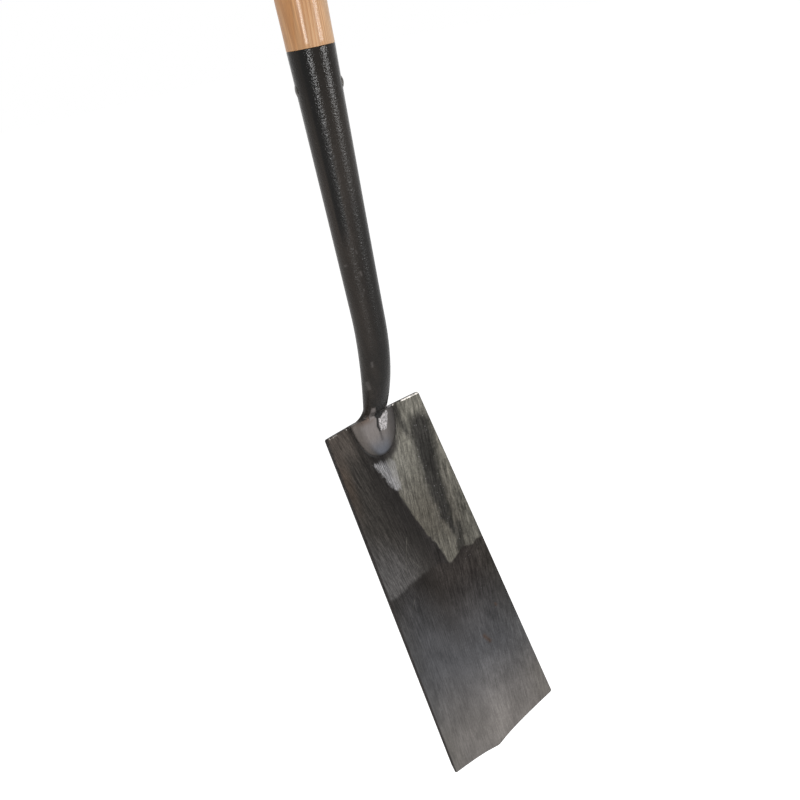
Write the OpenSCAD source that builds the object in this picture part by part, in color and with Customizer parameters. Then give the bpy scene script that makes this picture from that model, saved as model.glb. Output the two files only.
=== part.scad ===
// Trenching spade: a narrow dished blade on a cranked socket, with an ash shaft and a T-grip.
// The shaft lies on the Z axis, the grip is at the top, and the hollow front of the blade faces -Y.
// The origin is in the middle of the shaft's straight length.

/* [Blade] */
// Length of the blade's sides, from the top edge to the corners of the cutting edge
blade_len = 315; // [260:1:360]
// Width of the blade at its top edge
blade_top_w = 114.5; // [100:0.5:150]
// Width of the blade at its cutting edge
blade_edge_w = 138; // [105:1:160]
// How far the middle of the cutting edge runs past its corners
blade_point = 17; // [4:1:40]
// Forward lean of the blade against the shaft, in degrees
blade_lean = 14.5; // [5:0.5:22]
// Depth of the dish at the top edge
dish_top = 7.5; // [2:0.5:14]
// Depth of the dish at the corners of the cutting edge
dish_edge = 17; // [6:0.5:26]
// Radius that rounds the bottom of the dish
dish_r = 30; // [10:1:60]
// Radius that rounds the tip of the cutting edge
tip_r = 2; // [1:0.5:15]
// Radius of the blade's four corners
corner_r = 1.8; // [1:0.1:8]
// Thickness of the plate at its top edge
plate_top_t = 4; // [2.5:0.1:6]
// Thickness of the plate where the ground bevel starts
plate_low_t = 2.6; // [1.6:0.1:4]
// Thickness left at the cutting edge
edge_t = 1.5; // [0.4:0.1:2]
// Length of the bevel ground on the back of the cutting edge
bevel_len = 8; // [5:1:40]

/* [Socket] */
// Outer diameter at the socket's mouth, flush with the shaft
mouth_d = 39; // [34:0.5:44]
// Outer diameter halfway down the socket
waist_d = 33; // [29.5:0.5:36]
// Outer diameter where the socket becomes the solid neck
neck_d = 28; // [24:0.5:29]
// Drop from the mouth to the blade's top edge
socket_drop = 316; // [290:1:360]
// Length of the straight part of the socket
socket_len = 221; // [200:1:235]
// Wall at the socket's mouth
mouth_wall = 2.5; // [1.8:0.1:3.5]
// Diameter at the bottom of the tapered bore
bore_end_d = 23.5; // [20:0.5:24]
// Depth of the tapered bore
bore_depth = 180; // [120:1:190]

/* [Neck and tongue] */
// Step in radius where the forged neck leaves the socket
neck_step = 0.1; // [0.05:0.05:0.3]
// Length of the neck's root inside the socket's solid end
neck_root = 8; // [4:1:12]
// Radius of the crank, which carries the neck back from the shaft's axis
crank_r = 235; // [190:5:300]
// Height above the blade's top edge at which the crank ends
crank_clear = 10; // [6:1:16]
// Distance from the shaft's axis back to the bottom of the dish, at the top edge
blade_set_back = 27; // [24:0.5:32]
// Width of the neck where the crank ends
neck_end_w = 26; // [22:0.5:30]
// Thickness of the neck where the crank ends
neck_end_t = 15; // [12:0.5:18]
// Width of the tongue at the blade's top edge
tongue_w = 52; // [40:1:64]
// Reach of the tongue down the front of the blade
tongue_len = 38; // [25:1:60]
// Height of the tongue at the blade's top edge
tongue_h = 14; // [8:0.5:18]
// How the tongue's height runs out: 1 is a straight slope, and less is a rounder end
tongue_slope = 0.7; // [0.4:0.05:1]
// Thickness of the tongue's rounded end, short of its full reach
tongue_tip = 0.6; // [0.3:0.1:2]
// Room between the tongue and the plate, filled by the weld
weld_gap = 0.1; // [0.05:0.05:0.3]

/* [Rivet] */
// Drop from the socket's mouth to the rivet
rivet_drop = 30; // [20:1:60]
// Diameter of the rivet's shank
rivet_d = 6; // [4:0.5:8]
// Turn of the rivet about the shaft, in degrees
rivet_turn = -31; // [-90:1:90]
// Diameter of the rivet's formed head
rivet_head_d = 10; // [8.5:0.5:13]
// Height of the rivet's formed head
rivet_head_h = 1.5; // [1.2:0.1:4]
// Diameter of the rivet's ground tail
rivet_tail_d = 9; // [8.5:0.5:12]
// Height of the rivet's ground tail
rivet_tail_h = 0.8; // [0.4:0.1:2]

/* [Shaft] */
// Diameter of the straight part of the shaft
shaft_d = 36; // [32:0.5:38]
// Length of the straight part, half above and half below the origin
straight_len = 200; // [120:2:240]
// Drop from the origin to the socket's mouth
shaft_drop = 250; // [200:1:320]
// Diameter of the swell above the socket's mouth
swell_d = 40.6; // [38:0.1:44]
// Height of the swell above the socket's mouth
swell_rise = 50; // [30:1:90]
// Height of the shaft's upper shoulder above the origin
shoulder_rise = 235; // [190:1:300]
// Diameter of the shaft at its upper shoulder
shoulder_d = 30; // [27:0.5:32]
// Radial room between the shaft and the tapered bore
taper_gap = 0.1; // [0.05:0.05:0.3]
// Room under the shaft in the bore
bore_foot_gap = 0.8; // [0.2:0.1:0.9]

/* [T-grip] */
// Length of the crossbar
grip_len = 130; // [100:1:160]
// Diameter of the crossbar in the middle
grip_mid_d = 36; // [34:0.5:42]
// Length of the crossbar's straight middle
grip_mid_len = 42; // [36:1:60]
// Diameter of the crossbar near its ends
grip_end_d = 30; // [24:0.5:34]
// Radius that rounds the crossbar's ends
grip_end_r = 9; // [4:0.5:11]
// Diameter of the tenon through the crossbar
tenon_d = 23; // [18:0.5:25]
// Thickness of the wedge at the top of the tenon
wedge_t = 4.5; // [3:0.5:7]
// Thickness of the wedge at its tip
wedge_tip_t = 1; // [0.5:0.1:2]
// Depth of the wedge below the top of the crossbar
wedge_depth = 20; // [12:0.5:20]
// Diameter of the grip pin
pin_d = 4; // [2.5:0.5:4]
// Drop from the crossbar's axis to the grip pin
pin_drop = 5.5; // [5:0.5:6]
// Depth of the grip pin's ends below the wood
pin_sink = 0.5; // [0:0.1:1.5]
// Radial room round the tenon, the wedge and the pins
wood_gap = 0.05; // [0.02:0.01:0.2]

/* [Hidden] */
$fn = 64;

// Counts of the faceted forms: half of a ring's points, and rings along each stretch
blade_half_ring = 41;
blade_rows = 18;
bevel_rows = 4;
neck_half_ring = 20;
crank_rings = 14;
flare_rings = 4;
tongue_rings = 10;
curve_steps = 10;

// Overrun of a cutting or trimming solid
overrun = 1;

// Heights of the main places on the Z axis
mouth_z = -shaft_drop;
neck_z = mouth_z - socket_len;
blade_z = mouth_z - socket_drop;
bore_foot_z = mouth_z - bore_depth;
swell_z = mouth_z + swell_rise;
shoulder_z = shoulder_rise;
rivet_z = mouth_z - rivet_drop;
straight_z = straight_len / 2;

// Radius of the tapered bore at the socket's mouth, and of the socket where the rivet's ends sit
bore_mouth_r = mouth_d / 2 - mouth_wall;
rivet_seat_r = socket_r(1 - rivet_drop / socket_len);

// The crossbar's axis lies where the shaft's shoulder fills its housing
grip_mid_r = grip_mid_d / 2;
grip_z = shoulder_z + sqrt(pow(grip_mid_r, 2) - pow(shoulder_d / 2 + wood_gap, 2));

// The crank turns until it has come down to its clear height above the blade
crank_turn = asin((neck_z - blade_z - crank_clear) / crank_r);

function mix(a, b, t) = a + (b - a) * t;
function ease(t) = (1 - cos(180 * t)) / 2;

// A line that is straight far from its middle and rounded by r there, from 0 at x = 0 to 1 at x = reach
function soft_vee(x, reach, r) = (sqrt(x * x + r * r) - r) / (sqrt(reach * reach + r * r) - r);

// A point of the blade: its place across, its rise from the bottom of the dish and its place down
function on_blade(x, rise, down) = [
    x,
    blade_set_back - rise * cos(blade_lean) - down * sin(blade_lean),
    blade_z + rise * sin(blade_lean) - down * cos(blade_lean)
];

// Half of the blade's width, and the rise of its front face, at a place down the blade
function half_w(down) = mix(blade_top_w, blade_edge_w, down / blade_len) / 2;
function dish_rise(x, down) =
    mix(dish_top, dish_edge, down / blade_len) * soft_vee(x, half_w(down), dish_r);

// How much a rounded corner takes off the blade's length, at a distance in from its side
function corner_cut(inset) =
    inset < corner_r ? corner_r - sqrt(pow(corner_r, 2) - pow(corner_r - inset, 2)) : 0;

// One row of the blade as a ring: along the front from left to right, and back along the rear
function blade_row(t, thick) =
    let (half = mix(blade_top_w, blade_edge_w, t) / 2)
    let (across = [for (i = [0 : blade_half_ring - 1]) half * sin(mix(-90, 90, i / (blade_half_ring - 1)))])
    let (down = [for (x = across)
        let (cut = corner_cut(half - abs(x)))
        mix(cut, blade_len + blade_point * (1 - soft_vee(x, half, tip_r)) - cut, t)])
    let (front = [for (i = [0 : blade_half_ring - 1]) dish_rise(across[i], t * blade_len)])
    [
        for (i = [0 : blade_half_ring - 1]) on_blade(across[i], front[i], down[i]),
        for (i = [blade_half_ring - 1 : -1 : 0]) on_blade(across[i], front[i] - thick, down[i])
    ];

// A skin over rings of equal count, closed at both ends by strips between facing points
module loft(rings) {
    count = len(rings[0]);
    half = count / 2;
    last = (len(rings) - 1) * count;
    sides = [
        for (j = [0 : len(rings) - 2], i = [0 : count - 1])
            let (a = j * count + i, b = j * count + (i + 1) % count)
            each [[a, b, b + count], [a, b + count, a + count]]
    ];
    start_cap = [
        for (i = [0 : half - 2])
            let (c = count - 1 - i)
            each [[i, c, i + 1], [i + 1, c, c - 1]]
    ];
    end_cap = [
        for (f = start_cap) [for (p = [2, 1, 0]) f[p] + last]
    ];
    polyhedron(points = [for (r = rings) each r], faces = concat(sides, start_cap, end_cap));
}

// The dished plate, thinning downwards, with its bevel on the back
module blade() {
    bevel_t = 1 - bevel_len / (blade_len + blade_point);
    plate = [
        for (j = [0 : blade_rows])
            blade_row(bevel_t * j / blade_rows, mix(plate_top_t, plate_low_t, j / blade_rows))
    ];
    bevel = [
        for (j = [1 : bevel_rows])
            blade_row(mix(bevel_t, 1, j / bevel_rows), mix(plate_low_t, edge_t, j / bevel_rows))
    ];
    color("dimgray") loft(concat(plate, bevel));
}

// Outer radius of the socket, a curve through its three diameters, at a share of the way up from the neck
function socket_r(t) =
    (neck_d * (1 - t) * (1 - 2 * t) + 4 * waist_d * t * (1 - t) + mouth_d * t * (2 * t - 1)) / 2;

// The outside of the socket's straight part, as one solid
module socket_body() {
    outline = [
        for (i = [0 : curve_steps])
            [socket_r(i / curve_steps), mix(neck_z, mouth_z, i / curve_steps)]
    ];
    rotate_extrude() polygon(concat([[0, neck_z]], outline, [[0, mouth_z]]));
}

// Angles of a neck ring's points, from its left edge over its front to its right edge, and back behind
function ring_angle(i) = 180 - 180 * (i + 0.5) / neck_half_ring;

// A ring of the crank, round where it leaves the socket and flat where it reaches the blade
function crank_ring(t) =
    let (turn = crank_turn * t)
    let (middle = [0, crank_r * (1 - cos(turn)), neck_z - crank_r * sin(turn)])
    let (start = neck_d / 2 - neck_step)
    let (half = mix(start, neck_end_w / 2, t))
    let (thick = mix(start, neck_end_t / 2, t * t * t))
    [
        for (i = [0 : 2 * neck_half_ring - 1])
            let (forward = thick * sin(ring_angle(i)))
            middle + [half * cos(ring_angle(i)), -forward * cos(turn), -forward * sin(turn)]
    ];

// A ring of the tongue, which lies on the blade's front at a place down the blade
function tongue_ring(down) =
    let (share = down / tongue_len)
    let (half = tongue_w / 2 * sqrt(1 - share * share))
    let (high = tongue_h * pow(1 - share, tongue_slope))
    [
        for (i = [0 : 2 * neck_half_ring - 1])
            let (x = half * cos(ring_angle(i)))
            on_blade(x, dish_rise(x, down) + weld_gap + high * max(0, sin(ring_angle(i))), down)
    ];

// A ring between the crank and the tongue, whose width flares in a fillet
function flare_ring(t) =
    let (upper = crank_ring(1))
    let (lower = tongue_ring(0))
    let (flare = 1 - sqrt(1 - t * t))
    [
        for (i = [0 : 2 * neck_half_ring - 1])
            let (across = mix(upper[i].x, lower[i].x, flare))
            [across, mix(upper[i].y, lower[i].y, t), mix(upper[i].z, lower[i].z, t)]
    ];

// The solid neck below the socket, with the tongue that it ends in
module neck() {
    tongue_end = tongue_len - tongue_tip;
    root = [for (p = crank_ring(0)) p + [0, 0, neck_root]];
    loft(concat(
        [root],
        [for (j = [0 : crank_rings]) crank_ring(j / crank_rings)],
        [for (j = [1 : flare_rings - 1]) flare_ring(sin(90 * j / flare_rings))],
        [for (j = [0 : tongue_rings]) tongue_ring(tongue_end * sin(90 * j / tongue_rings))]
    ));
}

// A cone on the Z axis between two heights
module taper(low_z, low_r, high_z, high_r) {
    translate([0, 0, low_z]) cylinder(h = high_z - low_z, r1 = low_r, r2 = high_r);
}

// A round bar across the shaft at the rivet's height and turn, from one side of the axis to the other
module rivet_bar(r, length) {
    translate([0, 0, rivet_z]) rotate([0, 0, rivet_turn]) rotate([0, 90, 0])
        cylinder(h = length, r = r, center = true);
}

module socket() {
    color([0.16, 0.16, 0.15]) difference() {
        union() {
            socket_body();
            neck();
        }
        taper(bore_foot_z, bore_end_d / 2, mouth_z, bore_mouth_r);
        rivet_bar(rivet_d / 2 + wood_gap, 2 * mouth_d);
    }
}

// A cap of a ball along +X, with its flat side at x = 0 and a stub below it
module dome(d, h) {
    ball_r = (pow(d / 2, 2) + h * h) / (2 * h);
    rotate([0, 90, 0]) intersection() {
        translate([0, 0, h - ball_r]) sphere(r = ball_r);
        translate([0, 0, -h]) cylinder(h = 2 * h, d = d);
    }
}

// The rivet's two ends, which sit on the outside of the socket
module rivet_ends() {
    translate([0, 0, rivet_z]) rotate([0, 0, rivet_turn]) {
        translate([rivet_seat_r, 0, 0]) dome(rivet_head_d, rivet_head_h);
        mirror([1, 0, 0]) translate([rivet_seat_r, 0, 0]) dome(rivet_tail_d, rivet_tail_h);
    }
}

// The shank runs into both ends, by half of the tail's height
module socket_rivet() {
    color("slategray") union() {
        difference() {
            rivet_ends();
            socket_body();
        }
        rivet_bar(rivet_d / 2, 2 * rivet_seat_r + rivet_tail_h);
    }
}

// The crossbar's straight middle, which trims what comes up through it
module grip_middle() {
    translate([0, 0, grip_z]) rotate([0, 90, 0]) cylinder(h = grip_mid_len, d = grip_mid_d, center = true);
}

// The pin's bar through the crossbar, front to back
module pin_bar(r, length) {
    translate([0, 0, grip_z - pin_drop]) rotate([90, 0, 0]) cylinder(h = length, r = r, center = true);
}

// The wedge as it is before it is trimmed, with room added on each face
module wedge_stock(room) {
    top_half = wedge_t / 2 + room;
    tip_half = wedge_tip_t / 2 + room;
    top_z = grip_z + grip_mid_r;
    tip_z = top_z - wedge_depth - room;
    outline = [[-tip_half, tip_z], [tip_half, tip_z], [top_half, top_z], [-top_half, top_z]];
    rotate([90, 0, 0]) linear_extrude(height = tenon_d + 2 * overrun, center = true) polygon(outline);
}

// The shaft's tenon above its shoulder, rounded off flush with the crossbar
module tenon(r) {
    intersection() {
        translate([0, 0, shoulder_z]) cylinder(h = grip_mid_d + overrun, r = r);
        grip_middle();
    }
}

module shaft() {
    foot_z = bore_foot_z + bore_foot_gap;
    foot_r = mix(bore_end_d / 2, bore_mouth_r, bore_foot_gap / bore_depth);
    swell = [
        for (i = [0 : curve_steps])
            let (t = i / curve_steps)
            [mix(mouth_d, swell_d, ease(t)) / 2, mix(mouth_z, swell_z, t)]
    ];
    lower = [
        for (i = [1 : curve_steps])
            let (t = i / curve_steps)
            [mix(swell_d, shaft_d, ease(t)) / 2, mix(swell_z, -straight_z, t)]
    ];
    upper = [
        for (i = [0 : curve_steps])
            let (t = i / curve_steps)
            [mix(shaft_d, shoulder_d, ease(t)) / 2, mix(straight_z, shoulder_z, t)]
    ];
    turned = concat(
        [[0, foot_z], [foot_r - taper_gap, foot_z], [bore_mouth_r - taper_gap, mouth_z]],
        swell, lower, upper, [[0, shoulder_z]]
    );
    color("burlywood") difference() {
        union() {
            rotate_extrude() polygon(turned);
            tenon(tenon_d / 2);
        }
        wedge_stock(wood_gap);
        pin_bar(pin_d / 2 + wood_gap, grip_mid_d);
        rivet_bar(rivet_d / 2 + wood_gap, 2 * mouth_d);
    }
}

module grip_bar() {
    end_x = grip_len / 2;
    round_x = end_x - grip_end_r;
    round_r = grip_end_d / 2 - grip_end_r;
    slope = [
        for (i = [0 : curve_steps])
            let (t = i / curve_steps)
            [mix(grip_mid_d, grip_end_d, ease(t)) / 2, mix(grip_mid_len / 2, round_x, t)]
    ];
    rounded = [
        for (i = [1 : curve_steps])
            let (a = 90 * i / curve_steps)
            [round_r + grip_end_r * cos(a), round_x + grip_end_r * sin(a)]
    ];
    half = concat(slope, rounded);
    mirrored = [for (i = [len(half) - 1 : -1 : 0]) [half[i].x, -half[i].y]];
    color("burlywood") difference() {
        translate([0, 0, grip_z]) rotate([0, 90, 0])
            rotate_extrude() polygon(concat([[0, -end_x]], mirrored, half, [[0, end_x]]));
        translate([0, 0, shoulder_z - grip_mid_d]) cylinder(h = grip_mid_d, r = shoulder_d / 2 + wood_gap);
        translate([0, 0, shoulder_z - overrun]) cylinder(h = 2 * grip_mid_d, r = tenon_d / 2 + wood_gap);
        pin_bar(pin_d / 2 + wood_gap, 2 * grip_mid_d);
    }
}

module tenon_wedge() {
    color("peru") intersection() {
        wedge_stock(0);
        tenon(tenon_d / 2);
    }
}

module grip_pin() {
    pin_half = sqrt(pow(grip_mid_r, 2) - pow(pin_drop, 2)) - pin_sink;
    color("slategray") pin_bar(pin_d / 2, 2 * pin_half);
}

blade();
socket();
socket_rivet();
shaft();
grip_bar();
tenon_wedge();
grip_pin();
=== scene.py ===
"""Looks of the trenching spade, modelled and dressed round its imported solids.

Sizes are in millimetres in the part's own frame, as in its source, and become metres in the meshes.
"""

import logging
import math
from collections.abc import Callable, Sequence
from dataclasses import dataclass
from enum import Enum

import bmesh
import bpy
from mathutils import Matrix, Vector

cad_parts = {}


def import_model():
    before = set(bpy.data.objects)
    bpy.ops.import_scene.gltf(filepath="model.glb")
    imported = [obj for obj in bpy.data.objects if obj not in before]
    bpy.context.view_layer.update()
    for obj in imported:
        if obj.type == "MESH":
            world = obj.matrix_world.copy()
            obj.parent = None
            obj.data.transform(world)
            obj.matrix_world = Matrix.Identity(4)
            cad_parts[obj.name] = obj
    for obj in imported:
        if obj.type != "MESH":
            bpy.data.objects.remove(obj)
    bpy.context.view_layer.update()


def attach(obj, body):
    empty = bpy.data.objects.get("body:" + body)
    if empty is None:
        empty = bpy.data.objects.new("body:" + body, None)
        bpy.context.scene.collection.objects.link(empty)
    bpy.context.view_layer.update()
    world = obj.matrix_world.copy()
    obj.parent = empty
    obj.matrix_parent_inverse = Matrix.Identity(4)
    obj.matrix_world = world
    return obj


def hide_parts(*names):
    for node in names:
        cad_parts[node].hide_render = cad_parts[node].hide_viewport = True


MM = 0.001
DOUBLE = 0.00001
BEVEL_STEPS = 3
SMOOTH_ANGLE = math.radians(40.0)
LOG = logging.getLogger("spade")

Point = tuple[float, float, float]
Spot = tuple[float, float]
Output = bpy.types.NodeSocket
Value = float | int | tuple | Output


class Slot(Enum):
    """Material slots of the record."""

    BLADE = "blade_steel"
    SOCKET = "socket_lacquer"
    FASTENER = "fastener_steel"
    ASH = "ash"
    WEDGE = "wedge_wood"


class Grain(Enum):
    """Turn of a wood piece's grain, as the angles of its pattern."""

    ALONG_SHAFT = (0.0, 0.0, 0.0)
    ALONG_BAR = (0.0, math.pi / 2, 0.0)


def mix(low: float, high: float, share: float) -> float:
    """Returns the value at a share of the way between two values."""
    return low + (high - low) * share


def ease(share: float) -> float:
    """Returns a share eased in and out along half a cosine."""
    return (1.0 - math.cos(math.pi * share)) / 2.0


def quarter_sine(share: float) -> float:
    """Returns a share eased out along a quarter of a sine."""
    return math.sin(math.pi / 2 * share)


def soft_vee(across: float, reach: float, radius: float) -> float:
    """Gives a vee with a rounded bottom.

    Args:
        across: Distance from the middle.
        reach: Distance at which the vee is 1 high.
        radius: Radius that rounds its bottom.

    Returns:
        The height, from 0 in the middle to 1 at the reach.
    """
    return (math.hypot(across, radius) - radius) / (math.hypot(reach, radius) - radius)


def arris(depth: float, radius: float) -> float:
    """Gives how far a rounded edge falls back from a face.

    Args:
        depth: Distance in from the edge.
        radius: Radius of the rounding.

    Returns:
        The fall, from the radius at the edge to 0 at the end of the rounding.
    """
    if depth >= radius:
        return 0.0
    return radius - math.sqrt(radius**2 - (radius - depth) ** 2)


def tone(red: int, green: int, blue: int) -> tuple[float, float, float, float]:
    """Turns a display colour of 0 to 255 into the linear colour that a shader takes.

    Args:
        red: Display value of red.
        green: Display value of green.
        blue: Display value of blue.

    Returns:
        The linear colour with full alpha.
    """
    def linear(level: int) -> float:
        """Returns the linear value of one display value."""
        share = level / 255.0
        return share / 12.92 if share <= 0.04045 else ((share + 0.055) / 1.055) ** 2.4

    return (linear(red), linear(green), linear(blue), 1.0)


def deselect_all() -> None:
    """Leaves edit mode and clears the selection, so that an operator acts on the new piece alone."""
    if bpy.context.object and bpy.context.object.mode != "OBJECT":
        bpy.ops.object.mode_set(mode="OBJECT")
    bpy.ops.object.select_all(action="DESELECT")


def loft(name: str, rings: Sequence[Sequence[Point]]) -> bpy.types.Object:
    """Extrudes a ring of edges from station to station and closes both ends.

    Args:
        name: Name of the piece.
        rings: Rings of equal count, in millimetres.

    Returns:
        The closed piece, in edit mode no more.
    """
    deselect_all()
    bpy.ops.mesh.primitive_circle_add(vertices=len(rings[0]), radius=0.01, fill_type="NOTHING")
    piece = bpy.context.object
    piece.name = piece.data.name = name
    bpy.ops.object.mode_set(mode="EDIT")
    sheet = bmesh.from_edit_mesh(piece.data)
    order = sheet.verts.layers.int.new("order")
    sheet.verts.ensure_lookup_table()
    for place, vert in enumerate(sheet.verts):
        vert[order] = place
    bpy.ops.mesh.select_all(action="SELECT")
    bpy.ops.mesh.edge_face_add()
    for station, ring in enumerate(rings):
        if station:
            bpy.ops.mesh.extrude_region_move()
        sheet = bmesh.from_edit_mesh(piece.data)
        order = sheet.verts.layers.int["order"]
        for vert in sheet.verts:
            if vert.select:
                vert.co = Vector(ring[vert[order]]) * MM
        bmesh.update_edit_mesh(piece.data)
    sheet = bmesh.from_edit_mesh(piece.data)
    sheet.verts.layers.int.remove(sheet.verts.layers.int["order"])
    bmesh.update_edit_mesh(piece.data)
    close_up()
    return piece


def turn(
    name: str,
    outline: Sequence[Spot],
    foot: Point = (0.0, 0.0, 0.0),
    axis: Point = (0.0, 0.0, 1.0),
    steps: int = 72,
) -> bpy.types.Object:
    """Draws half an outline and spins it about an axis, as on a lathe.

    Args:
        name: Name of the piece.
        outline: Points of radius and distance along the axis, in millimetres, that start and end on the axis.
        foot: Point that the axis goes through, in millimetres.
        axis: Direction of the axis, square to the drawing's side.
        steps: Count of steps round the axis.

    Returns:
        The closed piece.
    """
    along = Vector(axis).normalized()
    side = along.orthogonal().normalized()
    spots = [(Vector(foot) + side * radius + along * height) * MM for radius, height in outline]
    deselect_all()
    bpy.ops.mesh.primitive_plane_add(size=MM, location=(0.0, 0.0, 0.0))
    piece = bpy.context.object
    piece.name = piece.data.name = name
    bpy.ops.object.mode_set(mode="EDIT")
    bpy.ops.mesh.select_mode(type="VERT")
    bpy.ops.mesh.select_all(action="SELECT")
    bpy.ops.mesh.merge(type="CENTER")
    bpy.ops.transform.translate(value=spots[0])
    for last, spot in zip(spots, spots[1:]):
        bpy.ops.mesh.extrude_vertices_move(TRANSFORM_OT_translate={"value": spot - last})
    bpy.ops.mesh.select_all(action="SELECT")
    bpy.ops.mesh.spin(steps=steps, angle=2 * math.pi, center=Vector(foot) * MM, axis=along)
    close_up()
    return piece


def close_up() -> None:
    """Merges doubles, turns all faces outwards and goes back to object mode."""
    bpy.ops.mesh.select_all(action="SELECT")
    bpy.ops.mesh.remove_doubles(threshold=DOUBLE)
    bpy.ops.mesh.select_all(action="SELECT")
    bpy.ops.mesh.normals_make_consistent(inside=False)
    bpy.ops.object.mode_set(mode="OBJECT")


def move_points(piece: bpy.types.Object, rule: Callable[[Vector], Vector]) -> None:
    """Moves a piece's points by a rule, as a file or a chisel would.

    Args:
        piece: The piece.
        rule: Takes a point in millimetres and gives its new place.
    """
    for vert in piece.data.vertices:
        vert.co = rule(vert.co / MM) * MM


def cut_away(piece: bpy.types.Object, cutter: bpy.types.Object) -> None:
    """Cuts one piece's form out of another and throws the cutter away.

    Args:
        piece: The piece that is cut.
        cutter: The form that is taken out.
    """
    deselect_all()
    bpy.context.view_layer.objects.active = piece
    piece.select_set(True)
    bpy.ops.object.modifier_add(type="BOOLEAN")
    cut = piece.modifiers[-1]
    cut.operation, cut.solver, cut.object = "DIFFERENCE", "EXACT", cutter
    bpy.ops.object.modifier_apply(modifier=cut.name)
    bpy.data.objects.remove(cutter)


def soften(piece: bpy.types.Object, width: float, corner: float = 50.0) -> None:
    """Breaks a piece's sharp edges with a small applied bevel.

    Args:
        piece: The piece.
        width: Width of the broken edge, in millimetres.
        corner: Least angle of an edge that is broken, in degrees.
    """
    deselect_all()
    bpy.context.view_layer.objects.active = piece
    piece.select_set(True)
    bpy.ops.object.modifier_add(type="BEVEL")
    bevel = piece.modifiers[-1]
    bevel.width, bevel.segments = width * MM, BEVEL_STEPS
    bevel.limit_method, bevel.angle_limit = "ANGLE", math.radians(corner)
    bpy.ops.object.modifier_apply(modifier=bevel.name)


def hand_over(piece: bpy.types.Object, node: str, material: bpy.types.Material) -> None:
    """Smooths and dresses a piece, and puts it in place of its solid.

    Args:
        piece: The finished piece.
        node: The solid that the piece stands for.
        material: The piece's material.
    """
    deselect_all()
    bpy.context.view_layer.objects.active = piece
    piece.select_set(True)
    bpy.ops.object.shade_smooth_by_angle(angle=SMOOTH_ANGLE)
    piece.data.materials.clear()
    piece.data.materials.append(material)
    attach(piece, "root")
    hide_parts(node)
    LOG.info("%s stands for %s, with %d faces", piece.name, node, len(piece.data.polygons))


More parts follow.
